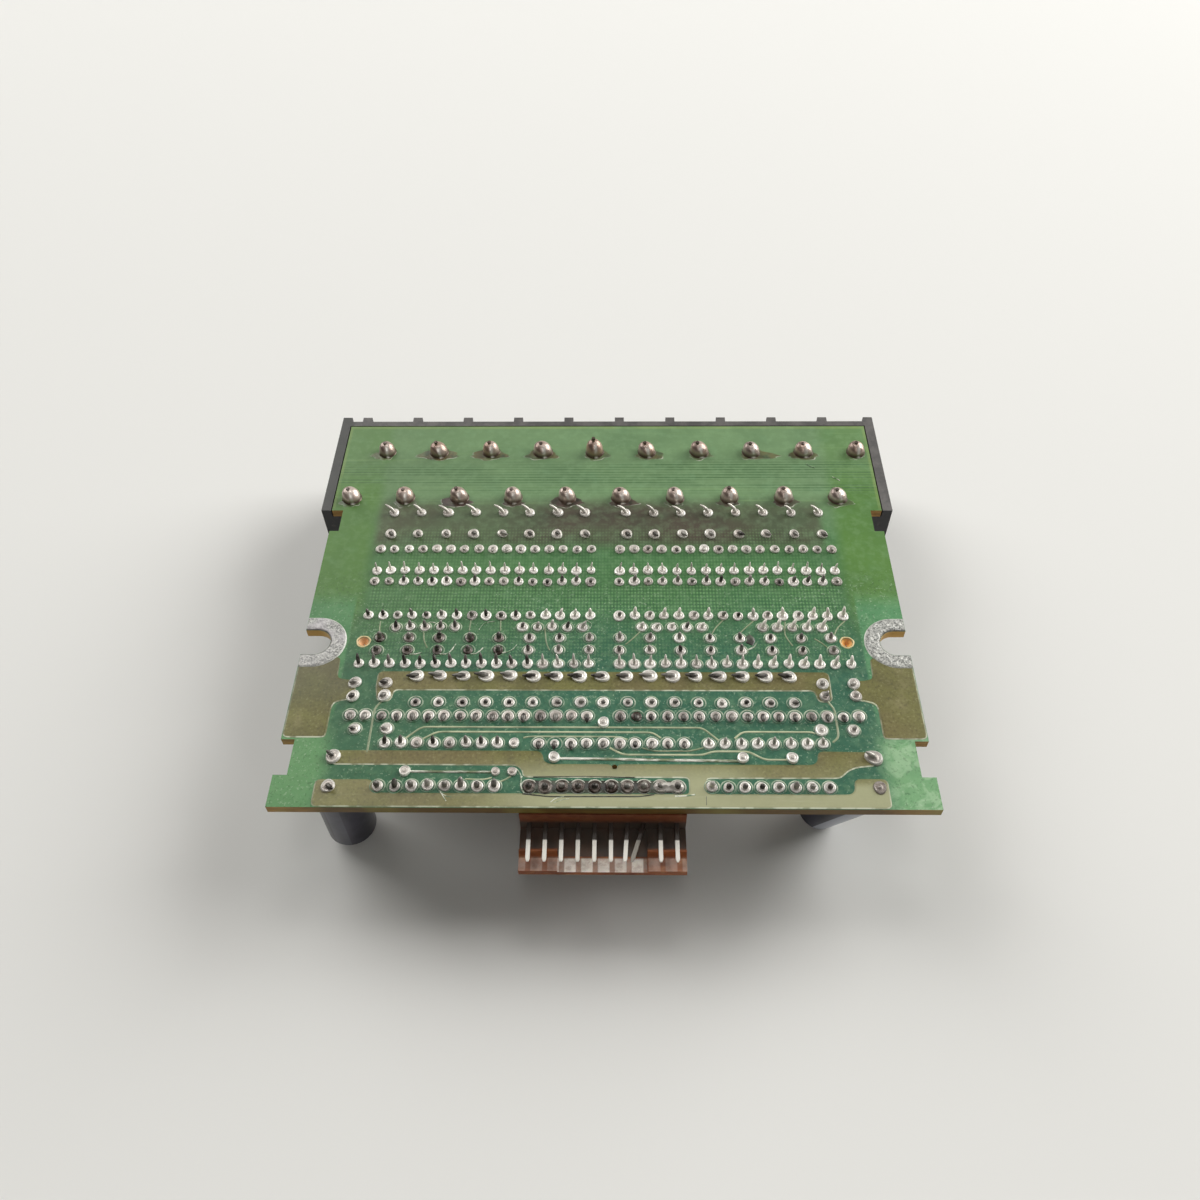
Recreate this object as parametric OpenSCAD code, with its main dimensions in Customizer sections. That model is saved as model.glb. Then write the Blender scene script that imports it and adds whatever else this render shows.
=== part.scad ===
// Alarm indicator board: a single-sided plug-in card that stands on its parts, solder side up.
// Units are millimetres. +X is to the right, +Y runs from the plug header to the terminal block, +Z is up.
// The origin is at the middle of the footprint, on the surface that the card stands on.

/* [Board] */
// Width of the laminate
board_w = 101.6; // [98:0.1:130]
// Length of the laminate from the header edge to the terminal block edge
board_l = 84.8; // [84.8:0.1:110]
// Thickness of the laminate
board_t = 1.6; // [0.8:0.1:3.2]
// Distance from the header edge to the reference row of the lead grid
ref_row = 36.65; // [36:0.05:37]
// Lead grid
grid = 2.54; // [2.5:0.01:2.56]

/* [Edge cuts] */
// Width of the two fixing slots
slot_w = 5; // [3:0.1:5.2]
// Depth of the fixing slots from the board's side edge
slot_depth = 4.6; // [3:0.1:6]
// Distance from the header edge to the middle of the fixing slots
slot_at = 30.9; // [26:0.1:31]
// Outer radius of the tinned land round each fixing slot
slot_land_r = 5.2; // [4:0.1:5.6]
// Length of the notches near the header edge
front_notch_l = 6.35; // [2:0.05:8]
// Depth of the notches near the header edge
front_notch_d = 2.2; // [1:0.1:3]
// Distance from the header edge to the front notches
front_notch_at = 5.5; // [3:0.1:8]
// Length of the notches in front of the terminal block
rear_notch_l = 5.2; // [2:0.1:8]
// Depth of the notches in front of the terminal block
rear_notch_d = 1.7; // [1:0.1:3]
// Radius of the two tooling holes
tooling_r = 0.9; // [0.5:0.05:1.2]

/* [Terminal block] */
// Thickness of the block's end walls, which stand beside the board up to its solder side
end_wall_t = 1.8; // [1:0.1:2.4]
// How much wider the laminate is, on each side, over the block
rear_flare = 0.4; // [0:0.1:1]
// Gap between the laminate's edges and the block's walls
wall_gap = 0.2; // [0.1:0.05:0.5]
// Height of the block below the board
block_h = 17.8; // [17.8:0.1:24]
// Length of board that lies over the block
block_cover = 23.2; // [23.2:0.1:26]
// How far the block's rear wall stands out beyond the board
block_margin = 1.5; // [1:0.1:6]
// Screw-to-screw pitch in each tier
way_pitch = 10.16; // [10:0.01:10.2]
// Screws in each tier
ways = 10; // [2:1:10]
// Thickness of the ribs between the terminals
rib_t = 1.8; // [1:0.1:2.4]
// How far the rib tips stand out of the rear wall
rib_out = 1.2; // [0.5:0.1:3]
// Front-to-back length of the inner, higher tier
inner_tier_l = 12.5; // [12.2:0.1:13]
// Thickness of the housing over the outer tier
outer_floor = 5.5; // [4.5:0.1:6]
// Thickness of the housing over the inner tier
inner_floor = 9.6; // [8:0.1:10]
// Radius of the terminal pins
block_pin_r = 0.6; // [0.4:0.05:0.8]

/* [Header] */
// Pitch of the plug header's pins
pin_pitch = 2.5; // [2:0.01:2.54]
// Number of header pins
pin_count = 10; // [4:1:10]
// Side of the square header pins
pin_side = 0.64; // [0.4:0.02:0.8]
// Length of pin in front of the header's wall
pin_reach = 6.15; // [3:0.05:6.5]
// Depth of the pins below the board
pin_drop = 2.9; // [2.2:0.05:3.2]
// Length of the header's shelf beyond the board
shelf_reach = 7.3; // [6.8:0.05:10]
// Sideways lean in degrees of the pin that the bent pin leans towards
leaning_pin_angle = 3.7; // [0:0.1:6]
// Gap between the tips of the bent pin and the leaning pin
bent_pin_gap = 0.38; // [0.1:0.01:1]

/* [Capacitors] */
// Diameter of the two electrolytic capacitors
can_d = 8; // [5:0.1:9]
// Length of the electrolytic capacitors
can_l = 15.5; // [8:0.1:15.5]
// Lean of the right capacitor in degrees
can_lean = 28; // [0:1:28]
// Heading of the lean, counter-clockwise from +X
can_heading = 153; // [140:1:165]

/* [Small parts] */
// Diameter of the power resistors
resistor_d = 4.3; // [2:0.1:4.8]
// Length of the power resistors
resistor_l = 11.5; // [6:0.1:14]
// Diameter of the glass diodes
diode_d = 1.8; // [1:0.1:2.2]
// Diameter of the indicator lamps
lamp_d = 3; // [1.8:0.1:3.2]
// Length of the chip packages
chip_l = 19.2; // [18.4:0.1:19.6]
// Thickness of the resistor networks
network_t = 2.4; // [1:0.1:2.6]
// Width of the film capacitors along the board
film_w = 7; // [5.8:0.1:7.2]
// Thickness of the film capacitors
film_t = 2.4; // [1:0.1:3]

/* [Solder] */
// Radius of the plated lead holes
hole_r = 0.45; // [0.35:0.01:0.5]
// Radius of the small leads
lead_r = 0.28; // [0.2:0.01:0.32]
// Radius of a small joint on the board
joint_r = 0.9; // [0.7:0.05:1.0]
// Height to which the clipped leads stand out of the board
clip_h = 1.7; // [1:0.1:3]

/* [Hidden] */
$fn = 48;
eps = 0.02;              // clearance between the solder and its plated hole
under = block_h;         // height of the board's component side
top = under + board_t;   // height of the board's solder side
front_y = -(shelf_reach + board_l + block_margin + rib_out) / 2;
edge_y = front_y + shelf_reach;   // header edge of the board
rear_y = edge_y + board_l;        // terminal block edge of the board
block_y = rear_y - block_cover;   // inner face of the block
wall_y = rear_y + block_margin;   // rear wall of the block
tip_y = wall_y + rib_out;         // rib tips
tier_y = block_y + inner_tier_l;  // step between the two tiers
rear_w = board_w + 2 * rear_flare;                     // width of the laminate over the block
block_w = rear_w + 2 * (wall_gap + end_wall_t);        // width over the block's end walls
block_hole_r = block_pin_r + 0.2;

function gx(n) = n * grid;
function gy(n) = edge_y + ref_row + n * grid;
function steps(a, b, d = 1) = [for (v = [a:d:b]) v];
function mirrored(list) = concat([for (i = [len(list) - 1:-1:0]) -list[i]], list);
function about(centre, n) = [for (i = [0:n - 1]) centre + i - (n - 1) / 2];
function joined(lists) = [for (list = lists) for (v = list) v];

// Lead positions along X, in grid steps
full_row = mirrored(steps(1, 16));
resistor_row = mirrored(steps(1.5, 15.5, 2));
lamp_row = mirrored(steps(1, 15, 2));
film_row = steps(-12, 12, 1.5);
coupler_at = [-12.5, -4.5, 4.5, 12.5];
rear_network_at = [-12, -3.5, 4.5, 12.5];
logic_at = [-10, 10];
short_network_at = 0.5;
rear_network_row = joined([for (c = rear_network_at) about(c, 5)]);
logic_row = joined([for (c = logic_at) about(c, 8)]);

// Rows of leads along Y, in grid steps from the reference row
resistor_y = [9.55, 7.5];
diode_y = [6, 4];
coupler_y = [3, 0];
rear_network_y = -1;
lamp_y = [-1.9, -2.9];
middle_network_y = -4;
film_y = [-5, -7];
front_network_y = -8;
logic_y = [-10, -13];
header_y = -13;
can_y = [-11, -13];
can_x = 16.5;
corner_y = [-5.5, -6.5];
corner_x = [14, 16];
side_y = -9;
side_x = [13.5, 15.5];
tooling_x = 16;
tooling_y = -2.2;
bare_hole = [0.7, -11.65];
via_at = [[0, -8.5], [-3, -11], [8.5, -11], [11.5, -11], [-12, -12], [-6.5, -12], [-5.5, -12], [-5.5, -10]];

rear_rows = [for (y = resistor_y) [y, resistor_row], for (y = diode_y) [y, full_row]];
middle_rows = [
    for (y = coupler_y) [y, full_row],
    [rear_network_y, rear_network_row],
    for (y = lamp_y) [y, lamp_row],
    [middle_network_y, full_row]
];
front_rows = [
    for (y = film_y) [y, film_row],
    for (y = corner_y) [y, mirrored(corner_x)],
    [front_network_y, full_row],
    [side_y, mirrored(side_x)],
    for (y = logic_y) [y, logic_row],
    [logic_y[0], about(short_network_at, 10)],
    for (y = can_y) [y, mirrored([can_x])]
];

// Terminal block layout
outer_x = [for (i = [0:ways - 1]) (i - (ways - 1) / 2) * way_pitch + way_pitch / 4];
inner_x = [for (x = outer_x) x - way_pitch / 2];
outer_pin_y = rear_y - 7.8;
inner_pin_y = block_y + 2.7;
outer_screw_y = wall_y - 5.2;
inner_screw_y = block_y + 8;
strip_t = 0.8;
strip_w = way_pitch - rib_t - 2.3;
clamp_side = 6;
clamp_t = 0.8;
screw_r = 1.45;
screw_head_r = 3;
screw_head_h = 2;
screw_sink = 3.6;        // length of screw inside the housing
outer_rib_h = 13.8;

// Header layout
header_w = (pin_count - 1) * pin_pitch + 2.9;
header_wall_t = 3;
header_wall_y = edge_y - 0.25;
header_h = 5.6;
shelf_drop = 4.7;        // top of the shelf below the board
ledge_l = 5.9;           // length of the raised ledge at each end
ledge_drop = 4.3;
pin_x = [for (i = [0:pin_count - 1]) (i - (pin_count - 1) / 2) * pin_pitch];
bent_pin = pin_count - 3;
leaning_shift = pin_reach * tan(leaning_pin_angle);
bent_shift = leaning_shift + pin_pitch - pin_side - bent_pin_gap;
pin_hole_r = pin_side / 2 * sqrt(2) + 0.05;
pin_z = under - pin_drop;

// Capacitor layout
can_r = can_d / 2;
sleeve_t = 0.15;
sleeve_gap = 0.05;
bung_t = 0.8;
can_stand = 0.4;
can_lead_pitch = 5;
can_home = [gx(can_x), (gy(can_y[0]) + gy(can_y[1])) / 2];
leaning_base = [can_home[0] + 0.1, can_home[1] + 0.4, under - 0.3 - can_r * sin(can_lean)];

NODES = concat(
    ["board", "slot_land_left", "slot_land_right"],
    ["block_housing", "terminals_outer", "terminals_inner", "clamps_outer", "clamps_inner"],
    ["screws_outer", "screws_inner", "header_housing", "header_pins", "header_pin_bent"],
    ["can_left", "sleeve_left", "can_right", "sleeve_right", "can_bungs", "can_leads"],
    [for (i = [1:4]) str("coupler_", i)],
    ["coupler_legs", "logic_left", "logic_right", "logic_legs"],
    [for (i = [1:4]) str("network_rear_", i)],
    [for (i = [1:4]) str("network_middle_", i)],
    [for (i = [1:4]) str("network_front_", i)],
    ["network_short", "network_leads"],
    ["resistors", "resistor_leads", "diodes", "diode_leads", "lamps", "lamp_leads"],
    ["film_capacitors", "film_leads", "corner_capacitors", "corner_leads"],
    ["solder_block", "solder_header", "solder_rear", "solder_middle", "solder_front", "solder_vias"]
);
node = "all";

// A box given by its lowest and highest corners
module box(lo, hi) {
    translate(lo)
        cube(hi - lo);
}

// A round rod from point p to point q
module rod(p, q, r) {
    d = q - p;
    translate(p)
        rotate([0, acos(d[2] / norm(d)), atan2(d[1], d[0])])
            cylinder(h = norm(d), r = r);
}

// A profile drawn in Y and Z, extruded along X from x0 to x1
module along_x(x0, x1, profile) {
    translate([x0, 0, 0])
        rotate([90, 0, 90])
            linear_extrude(x1 - x0)
                polygon(profile);
}

// Children repeated at every lead of a list of rows
module at_rows(rows) {
    for (row = rows)
        for (x = row[1])
            translate([gx(x), gy(row[0])])
                children();
}

// Solder in its plated hole, its fillet on the land, and the clipped lead end, as one revolved solid
module joint(barrel, land, wire, cone, clip) {
    rotate_extrude()
        polygon([
            [0, -board_t],
            [barrel - eps, -board_t],
            [barrel - eps, 0],
            [land, 0],
            [wire * 1.5, cone],
            [wire, cone],
            [wire, clip],
            [0, clip]
        ]);
}

module small_joint() {
    translate([0, 0, top])
        joint(hole_r, joint_r, lead_r, 0.9, clip_h);
}

/* Board */

module edge_slot() {
    slot_y = edge_y + slot_at;
    centre_x = board_w / 2 - slot_depth + slot_w / 2;
    translate([centre_x, slot_y])
        circle(r = slot_w / 2);
    translate([centre_x, slot_y - slot_w / 2])
        square([slot_depth + 2, slot_w]);
}

module edge_cuts() {
    edge_slot();
    translate([board_w / 2 - front_notch_d, edge_y + front_notch_at])
        square([front_notch_d + 1, front_notch_l]);
    translate([board_w / 2 - rear_notch_d, block_y - rear_notch_l])
        square([rear_notch_d + 1, rear_notch_l]);
    translate([gx(tooling_x), gy(tooling_y)])
        circle(r = tooling_r);
}

module board() {
    color("seagreen")
        translate([0, 0, under])
            linear_extrude(board_t)
                difference() {
                    union() {
                        translate([-board_w / 2, edge_y])
                            square([board_w, board_l]);
                        translate([-rear_w / 2, block_y])
                            square([rear_w, block_cover]);
                    }
                    edge_cuts();
                    mirror([1, 0])
                        edge_cuts();
                    at_rows(concat(rear_rows, middle_rows, front_rows))
                        circle(r = hole_r);
                    translate([gx(bare_hole[0]), gy(bare_hole[1])])
                        circle(r = hole_r);
                    for (x = pin_x)
                        translate([x, gy(header_y)])
                            circle(r = pin_hole_r);
                    for (x = outer_x)
                        translate([x, outer_pin_y])
                            circle(r = block_hole_r);
                    for (x = inner_x)
                        translate([x, inner_pin_y])
                            circle(r = block_hole_r);
                }
}

// Tinned land round the right-hand fixing slot
module slot_land() {
    land_t = 0.15;
    inset = 0.1;
    centre_x = board_w / 2 - slot_depth + slot_w / 2;
    color("silver")
        translate([0, 0, top])
            linear_extrude(land_t)
                difference() {
                    intersection() {
                        translate([centre_x, edge_y + slot_at]) {
                            circle(r = slot_land_r);
                            translate([0, -slot_land_r])
                                square([slot_depth, 2 * slot_land_r]);
                        }
                        translate([0, edge_y])
                            square([board_w / 2 - inset, board_l]);
                    }
                    edge_slot();
                }
}

/* Terminal block */

module block_housing() {
    side = block_w / 2;
    color([0.16, 0.16, 0.17])
        difference() {
            union() {
                box([-side, block_y, under - inner_floor], [side, tier_y, under]);
                box([-side, tier_y, under - outer_floor], [side, wall_y, under]);
                box([-side, block_y, 0], [side, block_y + rib_t, under - inner_floor]);
                for (x = outer_x)
                    translate([x - way_pitch / 2, 0, 0]) {
                        box([-rib_t / 2, tier_y, under - outer_rib_h], [rib_t / 2, tip_y, under]);
                        box([-rib_t / 2, rear_y + wall_gap, under], [rib_t / 2, tip_y, top]);
                    }
                for (x = inner_x)
                    translate([x + way_pitch / 2, 0, 0])
                        box([-rib_t / 2, block_y, 0], [rib_t / 2, tier_y, under - inner_floor]);
                box([-side, rear_y + wall_gap, under], [side, wall_y, top]);
                for (x = [-side, side - end_wall_t]) {
                    box([x, block_y, 0], [x + end_wall_t, tier_y, top]);
                    box([x, tier_y, under - outer_rib_h], [x + end_wall_t, tip_y, top]);
                }
            }
            for (x = outer_x) {
                translate([x, outer_pin_y, 0])
                    cylinder(h = top, r = block_hole_r);
                translate([x, outer_screw_y, under - outer_floor - 1])
                    cylinder(h = screw_sink + 1.4, r = screw_r + 0.1);
            }
            for (x = inner_x) {
                translate([x, inner_pin_y, under - inner_floor - 1])
                    cylinder(h = inner_floor + 2, r = block_hole_r);
                translate([x, inner_screw_y, under - inner_floor - 1])
                    cylinder(h = screw_sink + 1.4, r = screw_r + 0.1);
            }
        }
}

// Contact strips with their pins. Each strip lies on the housing's face at height z, from y0 to y1.
module terminals(xs, z, y0, y1, pin_y, screw_y) {
    color("goldenrod")
        for (x = xs)
            translate([x, 0, 0])
                difference() {
                    union() {
                        box([-strip_w / 2, y0, z - strip_t], [strip_w / 2, y1, z]);
                        translate([0, pin_y, z - strip_t / 2])
                            cylinder(h = under - z + strip_t / 2, r = block_pin_r);
                    }
                    translate([0, screw_y, z - strip_t - 1])
                        cylinder(h = strip_t + 2, r = screw_r + 0.2);
                }
}

module clamps(xs, z, screw_y) {
    color("silver")
        for (x = xs)
            translate([x, screw_y, z - clamp_t])
                difference() {
                    translate([-clamp_side / 2, -clamp_side / 2, 0])
                        cube([clamp_side, clamp_side, clamp_t]);
                    translate([0, 0, -1])
                        cylinder(h = clamp_t + 2, r = screw_r + 0.2);
                }
}

// Slotted screws whose heads bear on the clamps at height z
module screws(xs, z, screw_y) {
    slot_side = 1;
    color("silver")
        for (x = xs)
            translate([x, screw_y, z])
                difference() {
                    union() {
                        translate([0, 0, -screw_head_h])
                            cylinder(h = screw_head_h, r = screw_head_r);
                        cylinder(h = clamp_t + strip_t + screw_sink, r = screw_r);
                    }
                    translate([-screw_head_r - 1, -slot_side / 2, -screw_head_h - 1])
                        cube([2 * screw_head_r + 2, slot_side, 2]);
                }
}

/* Header */

module header_housing() {
    back = header_wall_y + header_wall_t;
    lip = edge_y - shelf_reach;
    half = header_w / 2;
    inner = half - ledge_l;
    low = under - header_h;
    ledge = under - ledge_drop;
    ramp = header_wall_y - 3.95;
    color([0.55, 0.3, 0.12])
        difference() {
            union() {
                box([-half, header_wall_y, low], [half, back, under]);
                box([-half, lip, low], [half, header_wall_y, under - shelf_drop]);
                for (x0 = [-half, inner])
                    along_x(x0, x0 + ledge_l, [
                        [header_wall_y, under - shelf_drop - 0.2],
                        [header_wall_y, ledge],
                        [ramp + 0.2, ledge],
                        [ramp, ledge + 0.8],
                        [ramp - 0.25, ledge + 0.8],
                        [ramp - 1, ledge],
                        [lip, ledge],
                        [lip, under - shelf_drop - 0.2]
                    ]);
            }
            for (x = pin_x)
                translate([x - pin_side / 2, header_wall_y - 1, pin_z - pin_side / 2])
                    cube([pin_side, header_wall_t + 2, pin_side]);
        }
}

// One bent pin: level through the wall, then up to the board
module header_pin(lean = 0) {
    h = pin_side / 2;
    rear = gy(header_y) + h;
    box([-h, header_wall_y, pin_z - h], [h, rear, pin_z + h]);
    box([-h, rear - pin_side, pin_z - h], [h, rear, under]);
    translate([0, header_wall_y, pin_z])
        rotate([0, 0, -lean])
            box([-h, -pin_reach / cos(lean), -h], [h, 0, h]);
}

module header_pins() {
    color("silver")
        for (i = [0:pin_count - 1])
            if (i != bent_pin)
                translate([pin_x[i], 0, 0])
                    header_pin(i == bent_pin - 1 ? leaning_pin_angle : 0);
}

module header_pin_bent() {
    color("silver")
        translate([pin_x[bent_pin], 0, 0])
            header_pin(atan(bent_shift / pin_reach));
}

/* Electrolytic capacitors, drawn hanging down from the middle of their base */

module can() {
    color("silver")
        translate([0, 0, -can_l + sleeve_t])
            cylinder(h = can_l - sleeve_t - bung_t, r = can_r - sleeve_t - sleeve_gap);
}

module sleeve() {
    groove = 0.35;
    outer = can_r;
    inner = can_r - sleeve_t;
    color([0.09, 0.1, 0.17])
        rotate_extrude()
            polygon([
                [inner, 0],
                [outer, 0],
                [outer, -can_l + groove],
                [outer - groove, -can_l],
                [outer - 1.4, -can_l],
                [outer - 1.4, -can_l + sleeve_t],
                [inner, -can_l + sleeve_t]
            ]);
}

module bung() {
    color([0.12, 0.12, 0.12])
        translate([0, 0, -bung_t])
            cylinder(h = bung_t, r = can_r - sleeve_t - sleeve_gap);
}

module place_left() {
    translate([-can_home[0], can_home[1], under - can_stand])
        children();
}

module place_right() {
    translate(leaning_base)
        rotate([0, 0, can_heading])
            rotate([0, -can_lean, 0])
                children();
}

module can_bungs() {
    place_left() bung();
    place_right() bung();
}

module can_leads() {
    color("silver") {
        for (s = [-1, 1])
            translate([-can_home[0], can_home[1] + s * can_lead_pitch / 2, under - can_stand])
                cylinder(h = can_stand, r = lead_r);
        for (s = [0, 1])
            leaning_lead(s);
    }
}

// Lead of the leaning capacitor, from its hole in the board to the rubber bung
module leaning_lead(s) {
    foot = [gx(can_x), gy(can_y[s]), under];
    side = (s == 0 ? 1 : -1) * can_lead_pitch / 2;
    seat = leaning_base + side * [sin(can_heading), -cos(can_heading), 0];
    reach = (foot - seat) / norm(foot - seat);
    difference() {
        rod(seat - reach, foot + reach, lead_r);
        translate([-board_w, -board_l, under])
            cube([2 * board_w, 2 * board_l, 5]);
        place_right()
            translate([0, 0, -bung_t - 2])
                cylinder(h = bung_t + 2, r = can_r);
    }
}

/* Chips. A package hangs 0.5 mm below the board, between two rows of legs. */

chip_stand = 0.5;
chip_h = 3.3;
chip_w = 6.35;

module chip(centre, rows) {
    mid_y = (gy(rows[0]) + gy(rows[1])) / 2;
    color([0.1, 0.1, 0.11])
        translate([gx(centre), mid_y, under - chip_stand - chip_h])
            difference() {
                translate([-chip_l / 2, -chip_w / 2, 0])
                    cube([chip_l, chip_w, chip_h]);
                translate([-chip_l / 2, 0, -1])
                    cylinder(h = 1.6, r = 0.8);
            }
}

module chip_legs(centre, rows) {
    leg_t = 0.25;
    wide = 1.2;
    narrow = 0.5;
    mid_y = (gy(rows[0]) + gy(rows[1])) / 2;
    span = (gy(rows[0]) - gy(rows[1])) / 2;
    leg_z = under - chip_stand - chip_h / 2;
    for (x = about(centre, 8))
        for (s = [0, 1])
            translate([gx(x), mid_y, 0])
                mirror([0, s, 0]) {
                    box([-wide / 2, chip_w / 2, leg_z], [wide / 2, span + leg_t / 2, leg_z + leg_t]);
                    box([-wide / 2, span - leg_t / 2, leg_z], [wide / 2, span + leg_t / 2, under - 0.5]);
                    box([-narrow / 2, span - leg_t / 2, under - 1], [narrow / 2, span + leg_t / 2, under]);
                }
}

module coupler_legs() {
    color("silver")
        for (c = coupler_at)
            chip_legs(c, coupler_y);
}

module logic_legs() {
    color("silver")
        for (c = logic_at)
            chip_legs(c, logic_y);
}

/* Resistor networks: one row of leads under a thin upright package with bevelled ends */

network_h = 5.2;
network_stand = 0.9;

module network(centre, row, n) {
    l = n * grid - 0.4;
    bevel = 0.5;
    low = under - network_stand - network_h;
    color([0.45, 0.2, 0.12])
        translate([gx(centre), gy(row) + network_t / 2, low])
            rotate([90, 0, 0])
                linear_extrude(network_t)
                    polygon([
                        [-l / 2, bevel],
                        [-l / 2 + bevel, 0],
                        [l / 2 - bevel, 0],
                        [l / 2, bevel],
                        [l / 2, network_h],
                        [-l / 2, network_h]
                    ]);
}

module network_leads() {
    rows = [
        [rear_network_y, rear_network_row],
        [middle_network_y, full_row],
        [front_network_y, full_row],
        [logic_y[0], about(short_network_at, 10)]
    ];
    color("silver")
        at_rows(rows)
            translate([0, 0, under - network_stand])
                cylinder(h = network_stand, r = lead_r);
}

/* Power resistors stand on end, each with its far lead folded back to the board */

resistor_stand = 1;
resistor_fold = 1.2;     // depth of the fold below the resistor

module resistors() {
    bead = 0.25;
    color([0.45, 0.55, 0.5])
        at_rows([[resistor_y[1], resistor_row]])
            translate([0, 0, under - resistor_stand - resistor_l])
                rotate_extrude()
                    polygon([
                        [0, 0],
                        [resistor_d / 2 - 0.8, 0],
                        [resistor_d / 2, 0.8],
                        [resistor_d / 2, 2.4],
                        [resistor_d / 2 - bead, 2.9],
                        [resistor_d / 2 - bead, resistor_l - 2.9],
                        [resistor_d / 2, resistor_l - 2.4],
                        [resistor_d / 2, resistor_l - 0.8],
                        [resistor_d / 2 - 0.8, resistor_l],
                        [0, resistor_l]
                    ]);
}

module resistor_leads() {
    span = gy(resistor_y[0]) - gy(resistor_y[1]);
    low = under - resistor_stand - resistor_l;
    color("silver")
        at_rows([[resistor_y[1], resistor_row]]) {
            translate([0, 0, under - resistor_stand])
                cylinder(h = resistor_stand, r = lead_r);
            union() {
                translate([0, 0, low - resistor_fold])
                    cylinder(h = resistor_fold, r = lead_r);
                rod([0, 0, low - resistor_fold], [0, span, low - resistor_fold], lead_r);
                translate([0, span, low - resistor_fold])
                    cylinder(h = under - low + resistor_fold, r = lead_r);
                for (y = [0, span])
                    translate([0, y, low - resistor_fold])
                        sphere(r = lead_r);
            }
        }
}

/* Glass diodes lie close under the board, along Y */

diode_drop = 1.4;
diode_l = 3.4;

module diodes() {
    mid = (diode_y[0] + diode_y[1]) / 2;
    color([0.75, 0.45, 0.25])
        at_rows([[mid, full_row]])
            translate([0, diode_l / 2, under - diode_drop])
                rotate([90, 0, 0])
                    cylinder(h = diode_l, r = diode_d / 2);
}

module diode_leads() {
    mid = (diode_y[0] + diode_y[1]) / 2;
    span = (gy(diode_y[0]) - gy(diode_y[1])) / 2;
    color("silver")
        at_rows([[mid, full_row]])
            for (s = [0, 1])
                mirror([0, s, 0])
                    translate([0, 0, under - diode_drop]) {
                        rod([0, diode_l / 2, 0], [0, span, 0], lead_r);
                        translate([0, span, 0])
                            cylinder(h = diode_drop, r = lead_r);
                        translate([0, span, 0])
                            sphere(r = lead_r);
                    }
}

/* Indicator lamps: a domed lens with a flange, on two leads */

lamp_stand = 4;
lamp_h = 4.6;
flange_h = 1;

module lamps() {
    mid = (lamp_y[0] + lamp_y[1]) / 2;
    low = under - lamp_stand;
    color([0.75, 0.08, 0.08])
        at_rows([[mid, lamp_row]]) {
            translate([0, 0, low - flange_h])
                cylinder(h = flange_h, r = lamp_d / 2 + 0.4);
            translate([0, 0, low - lamp_h + lamp_d / 2])
                cylinder(h = lamp_h - lamp_d / 2 - flange_h / 2, r = lamp_d / 2);
            translate([0, 0, low - lamp_h + lamp_d / 2])
                sphere(r = lamp_d / 2);
        }
}

module lamp_leads() {
    rows = [for (y = lamp_y) [y, lamp_row]];
    color("silver")
        at_rows(rows)
            translate([0, 0, under - lamp_stand])
                cylinder(h = lamp_stand, r = lead_r);
}

/* Film capacitors: small boxes on two straight leads */

film_h = 5.5;
film_stand = 0.5;

module film_capacitors() {
    mid = (film_y[0] + film_y[1]) / 2;
    color([0.75, 0.55, 0.15])
        at_rows([[mid, film_row]])
            translate([-film_t / 2, -film_w / 2, under - film_stand - film_h])
                cube([film_t, film_w, film_h]);
}

module film_leads() {
    rows = [for (y = film_y) [y, film_row]];
    color("silver")
        at_rows(rows)
            translate([0, 0, under - film_stand])
                cylinder(h = film_stand, r = lead_r);
}

/* Disc capacitors in the front corners, in pairs, and one beside each front network */

disc_r = 2.4;
disc_t = 1.9;
disc_stand = 1.5;
corner_mid = (corner_x[0] + corner_x[1]) / 2;
side_mid = (side_x[0] + side_x[1]) / 2;
corner_rows = [for (y = corner_y) [y, mirrored([corner_mid])], [side_y, mirrored([side_mid])]];

module disc() {
    translate([0, disc_t / 2, under - disc_stand - disc_r])
        rotate([90, 0, 0])
            cylinder(h = disc_t, r = disc_r);
}

module corner_capacitors() {
    color([0.8, 0.5, 0.2])
        at_rows(corner_rows)
            disc();
}

module corner_leads() {
    span = gx(corner_x[1] - corner_x[0]) / 2;
    drop = disc_stand + disc_r;
    color("silver")
        at_rows(corner_rows)
            for (s = [-1, 1])
                difference() {
                    translate([s * span, 0, under - drop])
                        union() {
                            cylinder(h = drop, r = lead_r);
                            sphere(r = lead_r);
                            rod([0, 0, 0], [-s * 1, 0, 0], lead_r);
                        }
                    disc();
                }
}

/* Solder */

module solder_block() {
    sites = concat([for (x = outer_x) [x, outer_pin_y]], [for (x = inner_x) [x, inner_pin_y]]);
    color([0.62, 0.58, 0.52])
        for (p = sites)
            translate([p[0], p[1], top])
                joint(block_hole_r, 1.7, block_pin_r, 2.6, 3.5);
}

module solder_header() {
    color([0.4, 0.36, 0.32])
        for (x = pin_x)
            translate([x, gy(header_y), top])
                joint(pin_hole_r, 0.95, 0.36, 0.9, 1.5);
}

module solder_rear() {
    color("silver")
        at_rows(rear_rows)
            small_joint();
}

module solder_middle() {
    color("silver")
        at_rows(middle_rows)
            small_joint();
}

module solder_front() {
    color("silver")
        at_rows(front_rows)
            small_joint();
}

module solder_vias() {
    color("silver")
        for (p = via_at)
            translate([gx(p[0]), gy(p[1]), top])
                cylinder(h = 0.35, r1 = 0.6, r2 = 0.35);
}

function drawn(name) = node == "all" || node == name;

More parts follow.
